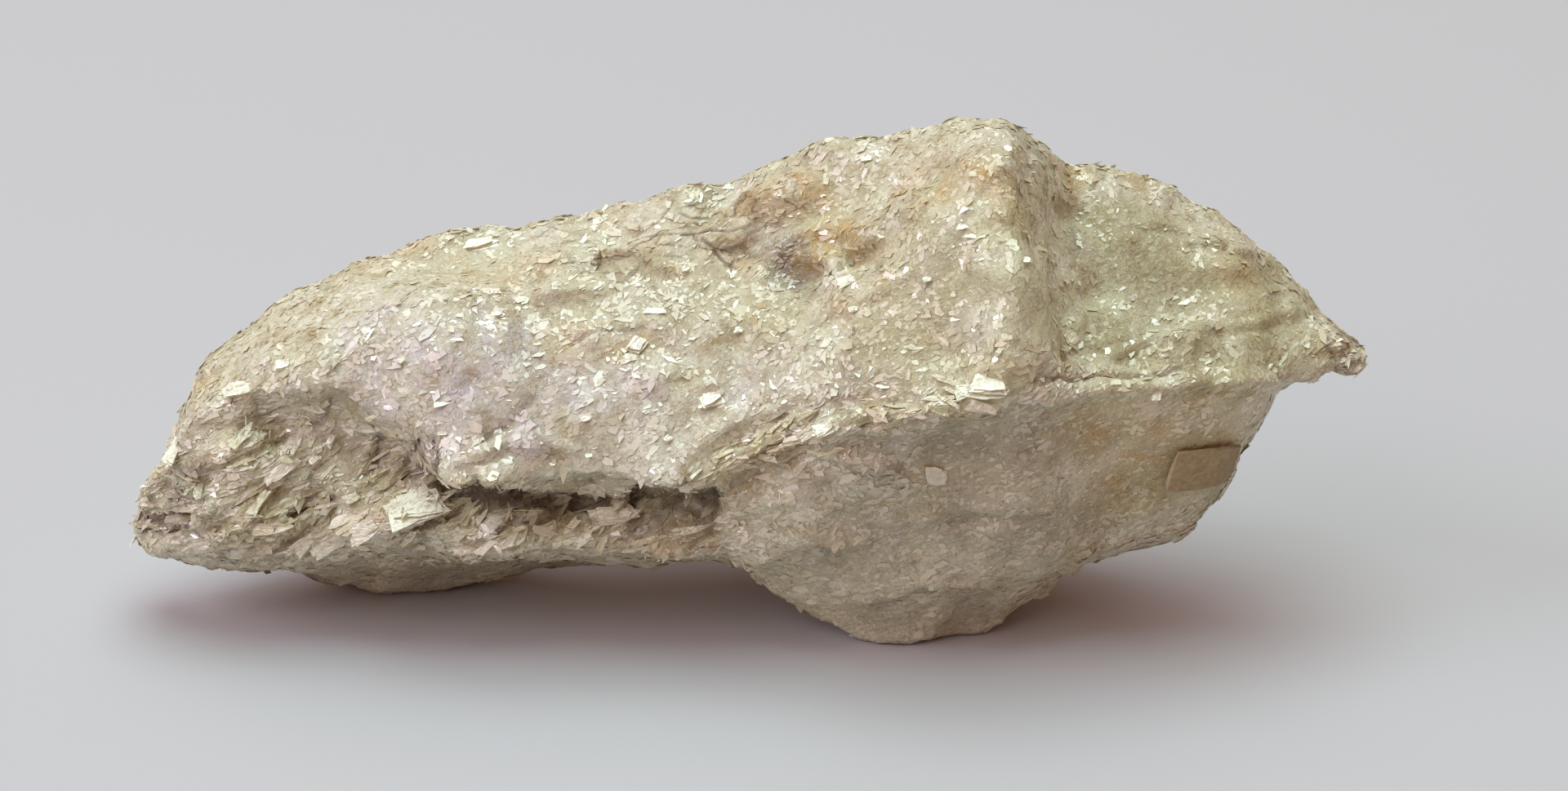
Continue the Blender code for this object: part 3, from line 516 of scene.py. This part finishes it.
# How large the patterns of the mica are, in mm.
PATCH, GREENER, MOTTLE = 2.5, 7.692, 1.25
ROLL, STREAK, STRETCH = 3.333, 1.818, 4.5
THREAD, THREADED, SLAB, CROOKED = 1.333, 3.571, 2.381, 1.111
FACE, GRIT = 0.2941, 0.25


def muscovite(name, tint, facets, shine, dull, grit, crinkle, ior):
    """Muscovite, pale and silvery to golden, with the pearly lustre of its stacked leaves. Every small face
    catches the light by itself, and where the beds are cut across they show as fine streaks.
    Facets is how far those faces lean, shine and dull are the roughness of the brightest and of the others,
    and grit and crinkle are how many mm the grain and the streaks are raised."""
    material, tree, shader, mm = painted(name)

    def vector(operation, settings, links):
        return node(tree, "VectorMath", settings, links, operation=operation).outputs[0]

    def times(first, second):
        return node(tree, "Math", None, {0: first, 1: second}, operation="MULTIPLY").outputs[0]

    def crust(mask):
        return node(tree, "Attribute", attribute_name=mask).outputs["Fac"]

    # Patches of pale and tan matting a few millimetres across, greener in some places than in others.
    colour = ramped(cloudy(mm, PATCH, 5, 0.68), ((0.34, "#BFB08B"), (0.64, "#ECE9D6"), (0.48, "#DBD5B9")))
    colour = masked(colour, "#D9D8B8", ranged(cloudy(mm, GREENER, 3), 0.5, 0.66), 0.55)
    patch = cloudy(mm, MOTTLE, 5, 0.7)
    # The stain tone also darkens one spot under an overhang, as a painted shadow.
    for mask, tone, low, high in (
        ("lilac", "#DFDAE0", 0.25, 0.6), ("cream", "#D5D0A0", 0.15, 0.45), ("olive", "#ABA176", 0.25, 0.55),
        ("grey", "#A79F88", 0.2, 0.5), ("stain_and_shade", "#D0AA5A", 0.34, 0.6),
    ):
        colour = masked(colour, tone, times(crust(mask), ranged(patch, low, high)))

    # The cut edges of the beds: fine streaks along them, wavy, a fifth of a millimetre apart.
    deep = node(tree, "VectorMath", {1: tuple(FOLIATION)}, {0: mm}, operation="DOT_PRODUCT").outputs["Value"]
    wave = cloudy(mm, ROLL, 2)
    rolled = node(tree, "Math", {1: 2.6}, {0: wave, 2: deep}, operation="MULTIPLY_ADD").outputs[0]
    way = vector("SCALE", {0: tuple(FOLIATION)}, {"Scale": rolled})
    streak = cloudy(vector("MULTIPLY_ADD", {1: (STRETCH,) * 3}, {0: way, 2: mm}), STREAK, 3, 0.65)
    cut = ranged(crust("edge"), 0.0, 1.0, 0.25, 0.85)
    colour = masked(colour, "#9A8560", times(ranged(streak, 0.46, 0.36), cut))
    colour = masked(colour, "#F6F3EA", times(ranged(streak, 0.56, 0.66), cut))
    # Paler where leaves are clean, and painted light on the ledge's lip, the band and shelf under it, and the
    # slabs.
    colour = masked(colour, "#EFF1DB", times(crust("pale"), ranged(patch, 0.15, 0.4)), 0.85)
    # Darker brown with dirt, and as painted shade under the ledge and in the hollows.
    colour = masked(colour, "#7E6C5B", times(crust("dirt_and_shade"), ranged(patch, 0.1, 0.42)))

    # Brown threads of dirt between the flakes, curled and broken, in some places only.
    curl = cloudy(mm, THREAD, 3, 0.6, 1.2)
    off = node(tree, "Math", {1: 0.5}, {0: curl}, operation="SUBTRACT").outputs[0]
    near = node(tree, "Math", None, {0: off}, operation="ABSOLUTE").outputs[0]
    where = ranged(cloudy(mm, THREADED, 2), 0.42, 0.6)
    colour = masked(colour, "#96794F", times(ranged(near, 0.016, 0.0), where), 0.8)

    # The slabs on the stone's back: cracks a few millimetres apart, dark with dirt and golden beside it.
    along = vector("MULTIPLY", {1: (0.5, 1.0, 1.0)}, {0: mm})
    bent = cloudy(mm, CROOKED, 3, output="Color")
    crooked = {"Vector": vector("MULTIPLY_ADD", {1: (1.1, 1.1, 1.1)}, {0: bent, 2: along})}
    slabby = node(tree, "TexVoronoi", {"Scale": 1 / SLAB}, crooked, feature="DISTANCE_TO_EDGE")
    gap = slabby.outputs["Distance"]
    slabs = times(crust("slab"), ranged(patch, 0.3, 0.45))
    colour = masked(colour, "#C39A5A", times(ranged(gap, 0.16, 0.0), slabs), 0.35)
    colour = masked(colour, "#5F4C3C", times(ranged(gap, 0.045, 0.01), slabs), 0.9)

    # Each flake is a little lighter or darker than its neighbours, some tan and some silvery.
    cells = node(tree, "TexVoronoi", {"Scale": 1 / FACE}, {"Vector": mm}).outputs["Color"]
    parts = node(tree, "SeparateColor", None, {"Color": cells})
    shade = ramped(
        crust(tint) if tint else parts.outputs[0], ((0, "#C9BD9F"), (1, "#FFFCF6"), (0.35, "#EBE8DA")),
    )
    tones = {"A": colour, "B": shade}
    tinted = node(tree, "Mix", {"Factor": 0.45}, tones, data_type="RGBA", blend_type="MULTIPLY")
    tree.links.new(tinted.outputs["Result"], shader.inputs["Base Color"])

    # Faces too small to model turn the light by themselves, over a grain that is finer still.
    lean = vector("SUBTRACT", {1: (0.5, 0.5, 0.5)}, {0: cells})
    turned = vector("SCALE", {"Scale": facets}, {0: lean})
    raised = None
    for rise, pattern in ((grit, cloudy(mm, GRIT, 4, 0.7)), (crinkle, streak)):
        links = {"Height": pattern, "Normal": raised} if raised else {"Height": pattern}
        raised = node(tree, "Bump", {"Strength": 1.0, "Distance": rise * MM}, links).outputs["Normal"]
    leaning = vector("ADD", None, {0: raised, 1: turned})
    tree.links.new(vector("NORMALIZE", None, {0: leaning}), shader.inputs["Normal"])
    gloss = crust("gloss") if tint else parts.outputs[2]
    tree.links.new(ranged(gloss, 0.7, 0.92, dull, shine), shader.inputs["Roughness"])
    shader.inputs["IOR"].default_value = ior
    shader.inputs["Specular IOR Level"].default_value = 0.9
    shader.inputs["Specular Tint"].default_value = linear("#FFF9F4")
    return material


def finished(piece, material):
    piece.data.materials.clear()
    piece.data.materials.append(material)
    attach(piece, "root")


MATTED = muscovite("muscovite_matted", None, 0.42, 0.14, 0.5, 0.19, 0.12, 1.58)
matting = MATTED.node_tree.nodes["Principled BSDF"].inputs
matting["Subsurface Weight"].default_value = 0.4
matting["Subsurface Radius"].default_value = (1.0, 0.75, 0.5)
matting["Subsurface Scale"].default_value = 0.4 * MM
finished(stone, MATTED)
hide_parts("mica_crystal")

# ---- Flakes ---------------------------------------------------------------------------------------------
# The ends of the single flakes that make up the matting, each a thin plate with an uneven outline that stands
# a tenth of a millimetre out of it. Most lie along the surface, and where the break crosses the beds they
# face the way that the beds do. A few stand half up, and those are the ones that sparkle.
FLAKES = 15000  # in each of the parts that the flakes are kept in
FLAKE_PARTS = 3
FLAKE_ACROSS = 0.36  # mm, of a usual one
GLINTS = 1500  # of each part's flakes, where there are any
rng = np.random.default_rng(11)


def flake_shapes(corners, depth, kinds, seed):
    """Templates of one flake, 1 across: a flat top with an uneven rim, closed by a point in the matting."""
    shapes = []
    for kind in range(kinds):
        bm = bmesh.new()
        bmesh.ops.create_cone(bm, cap_ends=True, segments=corners, radius1=0.5, radius2=0, depth=depth)
        bmesh.ops.remove_doubles(bm, verts=bm.verts, dist=1e-5)
        bmesh.ops.rotate(bm, verts=bm.verts, cent=(0, 0, 0), matrix=Matrix.Rotation(math.pi, 3, "X"))
        bmesh.ops.translate(bm, verts=bm.verts, vec=(0, 0, -depth / 2))
        for k, v in enumerate(bm.verts):
            if v.co.z > -depth / 2:
                v.co += noise.noise_vector(Vector((kind * 1.37 + seed, k * 0.91, 2.2))) * 0.42
                v.co.z = 0
        bm.normal_update()
        shapes.append([tuple(v.co) for v in bm.verts])
        faces = [[v.index for v in f.verts] for f in bm.faces]
        bm.free()
    return np.array(shapes), faces


def repeated(name, shapes, faces, centres, bases, sizes, values):
    """One mesh of many small plates: a template for each, scaled, turned and set in its place."""
    many, corners = len(centres), shapes.shape[1]
    kind = rng.integers(0, len(shapes), many)
    points = np.einsum("nvk,nkj->nvj", shapes[kind] * sizes[:, None, :], bases) + centres[:, None, :]
    points[:, :, 2] = np.maximum(points[:, :, 2], 0.03)
    mesh = bpy.data.meshes.new(name)
    loops = np.array([k for face in faces for k in face])
    starts = np.cumsum([0] + [len(face) for face in faces[:-1]])
    step = np.arange(many)[:, None]
    mesh.vertices.add(many * corners)
    mesh.loops.add(many * len(loops))
    mesh.polygons.add(many * len(faces))
    mesh.vertices.foreach_set("co", (points * MM).astype(np.float32).ravel())
    mesh.loops.foreach_set("vertex_index", (loops[None, :] + step * corners).astype(np.int32).ravel())
    mesh.polygons.foreach_set("loop_start", (starts[None, :] + step * len(loops)).astype(np.int32).ravel())
    mesh.update(calc_edges=True)
    mesh.shade_flat()
    for key, value in values.items():
        mark(mesh, key, np.repeat(value, corners))
    return placed(name, mesh)


stone.data.calc_loop_triangles()
corners = read(stone.data.loop_triangles, "vertices", 3)
outward = read(stone.data.vertices, "normal", 3).astype(float)
sides = points[corners]
areas = np.linalg.norm(np.cross(sides[:, 1] - sides[:, 0], sides[:, 2] - sides[:, 0]), axis=1)


def scattered(count, weight):
    """Places spread over the stone's surface: point, outward direction and what the crust is like there."""
    chance = areas * weight[corners].mean(axis=1)
    chosen = rng.choice(len(corners), count, p=chance / chance.sum())
    shares = rng.dirichlet((1, 1, 1), count)
    here = np.einsum("nk,nkj->nj", shares, sides[chosen])
    out = np.einsum("nk,nkj->nj", shares, outward[corners[chosen]])
    crust = {key: np.einsum("nk,nk->n", shares, value[corners[chosen]]) for key, value in CRUST.items()}
    return here, out / np.linalg.norm(out, axis=1, keepdims=True), crust


def unit(vectors):
    return vectors / np.linalg.norm(vectors, axis=1, keepdims=True)


def half_up(out):
    """The way a flake faces to throw light from straight above out from the stone's side."""
    level = unit(out * (1, 1, 0) + (0, -1e-3, 0))
    return level * 0.56 + np.array((0, 0, 0.83))


def framed(facing, along):
    """Axes for plates that face one way, with their length as near as can be along the other."""
    across = unit(np.cross(facing, along))
    return np.stack((np.cross(across, facing), across, facing), axis=1)


LABEL_MIDDLE = (np.array(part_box("paper_label")[0]) + np.array(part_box("paper_label")[1])) / 2 / MM
clear = np.clip((np.linalg.norm(points - LABEL_MIDDLE, axis=1) - 3.4) / 1.5, 0.02, 1)
clear *= np.clip((points[:, 2] - 0.15) / 0.3, 0, 1)
shapes, faces = flake_shapes(5, 0.22, 12, 0.0)
SHED = muscovite("muscovite_flakes", "tint", 0.04, 0.12, 0.5, 0.01, 0.01, 1.9)
for part in range(FLAKE_PARTS):
    here, out, crust = scattered(FLAKES, clear * (1 - 0.9 * CRUST["slab"]) * (1 - 0.3 * CRUST["worn"]))
    ease = (0.09 - 0.04 * np.maximum(np.maximum(crust["slab"], crust["worn"]), out[:, 2] < -0.2))[:, None]
    facing = unit(out + crust["edge"][:, None] * 0.7 * FOLIATION + ease * rng.normal(size=(FLAKES, 3)))
    turned = unit(half_up(out) + 0.12 * rng.normal(size=(FLAKES, 3)))
    clustered = ripple(here, 2.4, 17.3) + 0.5 * ripple(here, 0.9, 19.1) > 0.05 + 0.25 * crust["worn"]
    glint = (np.arange(FLAKES) < GLINTS) & clustered & ((turned * out).sum(axis=1) > 0.62)
    facing = np.where(glint[:, None], turned, facing)
    lay = (2.0 + 2.5 * crust["edge"])[:, None] * np.cross(FOLIATION, out)
    bases = framed(facing, rng.normal(size=(FLAKES, 3)) + lay)
    across = np.clip(FLAKE_ACROSS * np.exp(0.42 * rng.normal(size=FLAKES)), 0.15, 0.8)
    across *= (1 - 0.35 * crust["edge"]) * (1 - 0.4 * crust["worn"] * ~glint)
    longer = rng.uniform(1.0, 2.6, FLAKES) + crust["edge"] * rng.uniform(0.6, 2.2, FLAKES)
    sizes = np.stack((across * longer, across, np.minimum(across, 0.6)), axis=1)
    centres = here + out * (rng.uniform(-0.03, 0.03, FLAKES) + 0.04 * glint)[:, None]
    tint = 0.52 + rng.uniform(-0.42, 0.42, FLAKES) * (1 - 0.6 * crust["worn"])
    values = {"tint": tint, "gloss": np.maximum(rng.uniform(0, 1, FLAKES), glint), **crust}
    flakes = repeated(f"flakes_{part + 1}", shapes, faces, centres, bases, sizes, values)
    finished(flakes, SHED)

# ---- Leaves ---------------------------------------------------------------------------------------------
# Long single leaves of muscovite, a few millimetres by one. They stand out like wet pages where the break
# runs across the beds: over the ragged left end, along the ledge and the shelf under it, and in the fold
# between them. The stone holds each by its lower half.
LEAVES = 800
LEAFY = spread(points, spots([
    (-47, -8, 5, 1), (-43, -6, 5, 1), (-43, -11, 5, 1), (-38, -9, 5, 1), (-36, -12, 5, 1), (-32, -6, 4, 1),
    (-30, -10, 5, 1), (-26, -11, 4, 1), (-21, -11, 4, 0.8), (-16, -11, 4, 0.4), (-11, -11, 4, 0.4),
    (-6, -11, 4, 0.6), (-38, -3, 3, 0.6), (-33, -2, 3, 0.5), (-5, -6, 3, 0.9), (-1, -4, 3, 0.9),
    (2, -3, 3, 0.8), (6, -2, 3, 0.6), (4, 11, 3, 0.4),
]), 0.4)
LEAFY = LEAFY * np.clip(1.2 + 2.5 * outward[:, 2], 0, 1)
back = np.clip(outward[:, 1], 0, 1) * np.clip(0.5 + 2.5 * ripple(points, 7.0, 30.1), 0, 1)


def page_shapes(cells, corner, cropped, narrowing, ragged, bend, kinds, seed):
    """Templates of one leaf, 1 by 1 by 1: an uneven sheet with crooked corners, a ragged rim and a bend."""
    made = []
    for kind in range(kinds):
        def wander(a, b, c):
            return noise.noise_vector(Vector((kind * 3.17 + seed + a, b, c)))

        slant = wander(9.1, 0.2, 0.3).x * 2
        taper = narrowing * (0.5 + abs(wander(4.1, 7.2, 0.3).y))
        bm = bmesh.new()
        bmesh.ops.create_grid(bm, x_segments=cells[0], y_segments=cells[1], size=0.5)
        for v in bm.verts:
            x, y = v.co.x, v.co.y
            rim = max(abs(x), abs(y)) > 0.49
            cut = 1 - cropped * 4 * abs(x * y)
            pull = wander((x > 0) + 0.3, (y > 0) + 0.7, 0.1) * corner * 4 * abs(x * y)
            tear = wander(x * 5, y * 5, 1.4) * ragged * rim
            v.co.x = x * cut + narrowing * slant * y + pull.x + tear.x
            v.co.y = y * cut * (1 - taper * (0.5 + x)) + pull.y + tear.y
            v.co.z = bend * (wander(0.5, 0.5, 4.2).x * 4 * x * x + wander(x * 2, y * 2, 6.1).z)
        top = bmesh.ops.extrude_face_region(bm, geom=bm.faces[:])
        raised = [g for g in top["geom"] if isinstance(g, bmesh.types.BMVert)]
        bmesh.ops.translate(bm, verts=raised, vec=(0, 0, 1))
        bmesh.ops.recalc_face_normals(bm, faces=bm.faces)
        bm.verts.index_update()
        made.append([tuple(v.co) for v in bm.verts])
        faces = [[v.index for v in f.verts] for f in bm.faces]
        bm.free()
    return np.array(made), faces


def nearest(places):
    """The point of the skin that is nearest to each place."""
    return np.array([skin.find(p)[1] for p in places])


skin = KDTree(len(points))
for k, p in enumerate(points.tolist()):
    skin.insert(p, k)
skin.balance()
shapes, faces = page_shapes((4, 2), 0.3, 0.1, 0.5, 0.1, 1.4, 16, 0.0)
LEAF = muscovite("muscovite_leaves", "tint", 0.14, 0.12, 0.36, 0.05, 0.24, 1.9)

here, out, crust = scattered(LEAVES, clear * np.maximum(LEAFY, 0.25 * back))
facing = unit(out + 0.15 * FOLIATION + 0.55 * half_up(out) + 0.1 * rng.normal(size=(LEAVES, 3)))
along = np.cross(FOLIATION, out) + 0.14 * rng.normal(size=(LEAVES, 3))
length = np.clip(1.5 * np.exp(0.5 * rng.normal(size=LEAVES)), 0.6, 3.6)
sizes = np.stack((length, length * rng.uniform(0.15, 0.34, LEAVES), rng.uniform(0.04, 0.1, LEAVES)), axis=1)
crust["pale"] = np.maximum(crust["pale"], np.clip(rng.uniform(-0.4, 1.2, LEAVES), 0, 1) * (1 - crust["dirt_and_shade"]))
crust["stain_and_shade"] *= 0.5
crust["cream"] = np.ones(LEAVES)
values = {"tint": rng.uniform(0, 1, LEAVES), "gloss": rng.uniform(0.4, 1, LEAVES), **crust}
centres = here + out * rng.uniform(-0.1, 0.05, LEAVES)[:, None]
finished(repeated("leaves", shapes, faces, centres, framed(facing, along), sizes, values), LEAF)

rows = [row for row in strokes() if row[0] in ("lip", "teeth")]
starts, ends, ups, hang = [], [], [], []
for kind, width, height, dirt_and_shade, a, b, up in rows:
    for share in np.arange(0, 1, 0.4 / max((b - a).length, 0.5)):
        starts.append(a.lerp(b, share) + 0.25 * Vector(rng.normal(size=3).tolist()))
        ends.append((b - a).normalized())
        ups.append(up)
        hang.append(kind == "teeth")
at = nearest(starts)
count = len(at)
ends, ups, hang = np.array(ends), np.array(ups), np.array(hang)[:, None]
above = nearest(points[at] + 1.6 * ups)
out = unit(np.where(hang, outward[above], outward[at]))
lying = unit(out + 0.3 * ups + 0.3 * half_up(out) + 0.15 * rng.normal(size=(count, 3)))
facing = np.where(hang, unit(out + 0.15 * ups + 0.15 * rng.normal(size=(count, 3))), lying)
along = np.where(hang, -ups + 0.6 * rng.normal(size=(count, 3)), ends + 0.2 * rng.normal(size=(count, 3)))
length = np.where(hang[:, 0], 0.75, 1.4) * np.clip(np.exp(0.4 * rng.normal(size=count)), 0.4, 2.0)
sizes = np.stack((length, length * rng.uniform(0.2, 0.4, count), rng.uniform(0.04, 0.09, count)), axis=1)
centres = points[at] + out * rng.uniform(-0.08, 0.06, count)[:, None] + ups * np.where(hang, 0.3, 0.15)
values = {key: value[at] * (0.3 if key in ("dirt_and_shade", "stain_and_shade") else 1) for key, value in CRUST.items()}
values.update(tint=rng.uniform(0.2, 1, count), gloss=rng.uniform(0.4, 1, count))
values["pale"] = np.maximum(values["pale"], 0.8 * hang[:, 0])
values["cream"] = np.ones(count)
finished(repeated("lip_leaves", shapes, faces, centres, framed(facing, along), sizes, values), LEAF)

# ---- Books ----------------------------------------------------------------------------------------------
# The larger crystals of muscovite, each a book of thin leaves that split from one another at its edges. Their
# cleavage is as bright as metal foil where it faces the light.
HALF_UP = np.array((0, -0.56, 0.83))
PAGE = 0.11  # mm thick
# (u, v, width, height, turn in degrees, how far it is turned to face half up, leaves, paleness)
BOOKS = [
    (16.4, 0.7, 2.9, 2.5, -8, 1, 5, 1), (14.6, 0.2, 1.7, 1.2, 20, 0.9, 3, 0.9),
    (16, -0.8, 2.4, 0.9, -20, 0.5, 3, 0.9), (13.4, 0.9, 2.8, 0.5, -39, 0.2, 2, 0.3),
    (13.6, 0.2, 2.2, 0.4, -36, 0.2, 2, 0.6), (13.6, -0.4, 2, 0.4, -26, 0.2, 2, 0.4),
    (12.4, -0.5, 2.4, 0.45, -18, 0.2, 2, 0.6), (-29.8, -8.9, 4.3, 3, 12, 0.85, 5, 0.9),
    (-13.5, -9.6, 3.6, 1.5, 6, 0.35, 4, 1), (-24.4, 12.1, 2.4, 1.1, 10, 0.8, 3, 1),
    (-5.9, -0.4, 1.9, 1.5, 30, 0.85, 4, 1), (3.3, -2.7, 1.6, 1.1, 20, 0.9, 3, 1),
    (-11.8, 3.9, 1.5, 1.3, 70, 0.7, 3, 0.5), (-49.2, -4.7, 2.6, 1, 78, 1, 3, 1),
    (30, 0, 1.1, 0.8, 80, 0.8, 3, 1), (-43.9, 0.6, 2.3, 1.3, 20, 0.8, 4, 1),
    (-40.5, 2.6, 1.2, 1, 10, 0.8, 3, 1), (-36.6, -3.5, 1, 0.6, 70, 0.8, 3, 1),
    (-35, -8.3, 1.3, 1, 30, 0.7, 3, 0.6), (-37.7, -5.2, 1, 0.8, 50, 0.9, 3, 1),
    (-3.8, 5.2, 0.65, 0.54, 0, 0.9, 2, 1), (6.8, 19.1, 0.86, 0.48, 10, 0.9, 2, 1),
    (2.6, 4.8, 0.5, 0.41, 0, 0.9, 2, 1), (12.2, -6.6, 1.7, 1.6, 0, 0.1, 2, 0.9),
    (-25.4, -11.8, 2.2, 0.7, 15, 0.8, 3, 1), (-22.3, -10.8, 3.2, 1.2, 15, 0.8, 3, 1),
    (-33.5, -10.6, 2.8, 1.6, 25, 0.35, 4, 0.9), (-36.5, -11.8, 2.6, 1.3, 30, 0.4, 3, 1),
    (-38.6, -11.9, 2.2, 1, 38, 0.35, 3, 0.9), (-43.2, -7.6, 4.8, 1.1, 30, 0.25, 3, 1),
    (-40.2, -5.6, 3.4, 1.3, 28, 0.3, 3, 1), (-19.5, -11.3, 2.6, 1, 12, 0.4, 3, 0.8),
    (-41.8, -3.2, 3.6, 2, 22, 0.15, 3, 0.8), (-28.6, -6.9, 1.6, 0.9, 40, 0.4, 3, 0.3),
    (-46.5, -11.8, 2.6, 1, 20, 0.2, 4, 0.6), (-33.6, 5.2, 0.72, 0.75, 30, 0.9, 2, 1),
    (-7.8, 10, 0.65, 0.48, 20, 0.85, 2, 1), (17.5, 3.5, 0.58, 0.41, 70, 0.9, 2, 1),
    (23, 4.5, 1.4, 1.6, 60, 0.3, 3, 0.8), (11.5, 9.5, 0.72, 0.54, 30, 0.9, 2, 1),
    (5.5, 7, 0.65, 0.48, 10, 0.9, 2, 1), (-31, 3, 0.65, 0.54, 40, 0.9, 2, 1),
    (-16, -2, 0.79, 0.54, 20, 0.9, 2, 1), (-9.5, -3.5, 0.65, 0.54, 60, 0.9, 2, 0.9),
    (-23, 6.5, 0.72, 0.48, 0, 0.9, 2, 1), (19.5, 11, 0.58, 0.61, 0, 0.9, 2, 1),
]
shapes, faces = page_shapes((6, 4), 0.3, 0.1, 0.3, 0.04, 0.8, 14, 50.0)
FOIL = muscovite("muscovite_books", "tint", 0.14, 0.16, 0.4, 0.03, 0.2, 2.1)
centres, bases, sizes, tints, glosses, ats = [], [], [], [], [], []
for u, v, width, height, turn, lean, leaves, pale in BOOKS:
    hit, _ = met(u, v)
    at = nearest([hit / MM])[0]
    close = np.array([found[1] for found in skin.find_range(points[at], 1.4)])
    out = unit(outward[close].mean(axis=0)[None])[0]
    facing = unit(((1 - lean) * out + lean * HALF_UP)[None])[0]
    for page in range(leaves):
        slip = rng.normal(size=3) * 0.05 * width
        angle = math.radians(turn + 7 * rng.normal())
        along = np.array(Vector((math.cos(angle), 0, 0)) + UPWARD * math.sin(angle))
        base = points[at] + 0.1 * out + slip - facing * (slip @ facing)
        centres.append(base + facing * PAGE * 1.05 * (page - 0.3 * leaves))
        bases.append(framed(unit((facing + 0.03 * rng.normal(size=3))[None]), along[None])[0])
        share = 1 - 0.07 * page
        sizes.append((width * share, height * share, PAGE))
        tints.append(pale * rng.uniform(0.85, 1))
        glosses.append(rng.uniform(0.7, 0.8) if max(width, height) > 2.2 else rng.uniform(0.75, 0.95))
        ats.append(at)
CLEANED = {"dirt_and_shade": 0.2, "edge": 0.2, "slab": 0.2, "stain_and_shade": 0.2}  # how much of each a book keeps
values = {key: value[ats] * CLEANED.get(key, 1) for key, value in CRUST.items()}
values.update(tint=np.array(tints), gloss=np.array(glosses), pale=np.clip(np.array(tints) * 1.8 - 1, 0, 0.8))
books = repeated("books", shapes, faces, np.array(centres), np.array(bases), np.array(sizes), values)
finished(books, FOIL)

# ---- The label ------------------------------------------------------------------------------------------
# A collector's label cut from brown laid paper and glued on low down, where the stone is smooth. It is blank,
# old and brittle. Its left edge lifts, which is shown only by a painted highlight along it, and a dark brown
# line runs along the top.
bm = bmesh.new()
bm.from_mesh(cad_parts["paper_label"].data)
bmesh.ops.remove_doubles(bm, verts=bm.verts, dist=1e-6)
bmesh.ops.subdivide_edges(bm, edges=bm.edges, cuts=4, use_grid_fill=True)
for v in bm.verts:
    crumple = noise.noise_vector(v.co / (0.9 * MM)) * 0.035 + noise.noise_vector(v.co / (0.25 * MM)) * 0.012
    v.co += crumple * MM
label = new_piece("blank_label", bm)
label.data.shade_smooth()
FIBRE = 0.4545  # mm, the mottling of the paper
ROUGHENED = 0.06  # mm
paper, tree, shader, mm = painted("aged_paper")
upright = {"Center": tuple(LABEL_MIDDLE), "Axis": (0, 1, 0), "Angle": math.radians(-9)}
turned = node(tree, "VectorRotate", upright, {"Vector": mm}).outputs[0]
inside = node(tree, "VectorMath", {1: tuple(LABEL_MIDDLE)}, {0: turned}, operation="SUBTRACT").outputs[0]
across, _, up = node(tree, "SeparateXYZ", None, {0: inside}).outputs
fibre = cloudy(mm, FIBRE, 5, 0.75)
colour = ramped(fibre, ((0.35, "#8F7B58"), (0.65, "#B29C76")))
# Greyer to the right, a painted highlight along the left edge, and a dark brown line along the top.
for way, low, high, tone, most in (
    (across, 1.0, 3.2, "#8A8062", 0.8), (across, -2.4, -2.8, "#E0CFAE", 0.8), (up, 1.9, 2.3, "#6B4A2B", 0.75),
):
    colour = masked(colour, tone, ranged(way, low, high), most)
tree.links.new(colour, shader.inputs["Base Color"])
raised = node(tree, "Bump", {"Strength": 0.6, "Distance": ROUGHENED * MM}, {"Height": fibre})
tree.links.new(raised.outputs["Normal"], shader.inputs["Normal"])
shader.inputs["Roughness"].default_value = 0.75
finished(label, paper)
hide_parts("paper_label")

# ---- The table ------------------------------------------------------------------------------------------
# A plain sheet of white laminate with a satin finish, wide enough to fill everything that is seen around the
# stone, which lies loose on it.
bm = bmesh.new()
bmesh.ops.create_grid(bm, x_segments=1, y_segments=1, size=2.0)
table = new_piece("table", bm)
paint = bpy.data.materials.new("white_laminate")
paint.use_nodes = True
paint.node_tree.nodes["Principled BSDF"].inputs["Base Color"].default_value = linear("#BDBDC0")
paint.node_tree.nodes["Principled BSDF"].inputs["Roughness"].default_value = 0.55
table.data.materials.append(paint)

# ---- Light ----------------------------------------------------------------------------------------------
# The soft light of a copy stand: a large lamp overhead, weaker ones behind, at the left and at the front
# left, and a warm room around them that tints the shadow under the stone.
world = bpy.data.worlds.new("studio")
bpy.context.scene.world = world
world.use_nodes = True
world.node_tree.nodes["Background"].inputs["Color"].default_value = linear("#FFC0A8")
world.node_tree.nodes["Background"].inputs["Strength"].default_value = 0.34


def lamp(name, place, aim, size, power, colour):
    light = bpy.data.lights.new(name, "AREA")
    light.shape = "DISK"
    light.size = size
    light.energy = power
    light.color = colour
    made = placed(name, light)
    made.location = place
    made.rotation_mode = "QUATERNION"
    made.rotation_quaternion = (Vector(aim) - Vector(place)).to_track_quat("-Z", "Y")


lamp("overhead", (0, 0.1, 1.2), (0, 0, 0), 1.2, 10.4, (0.70, 1.0, 0.96))
lamp("above_behind", (0, 0.6, 1.1), (0, 0, 0.02), 1.1, 4.3, (0.85, 0.89, 1.0))
lamp("left", (-1.0, -0.2, 0.7), (0, 0, 0.02), 0.7, 5.8, (0.84, 0.83, 1.0))
lamp("front_left", (-0.56, -0.8, 0.68), (0, 0, 0.02), 0.8, 2.8, (0.96, 0.93, 1.0))

# ---- Camera ---------------------------------------------------------------------------------------------
# A long lens about a third of a metre from the stone, level with it from side to side and looking down on it
# by 22 degrees.
camera = placed("camera", bpy.data.cameras.new("camera"))
camera.data.lens = 100
camera.data.sensor_width = 36
camera.data.clip_start = 0.01
camera.location = EYE
camera.rotation_mode = "QUATERNION"
camera.rotation_quaternion = (FRONT - EYE).to_track_quat("-Z", "Y")
bpy.context.scene.camera = camera
bpy.context.scene.view_settings.view_transform = "Standard"
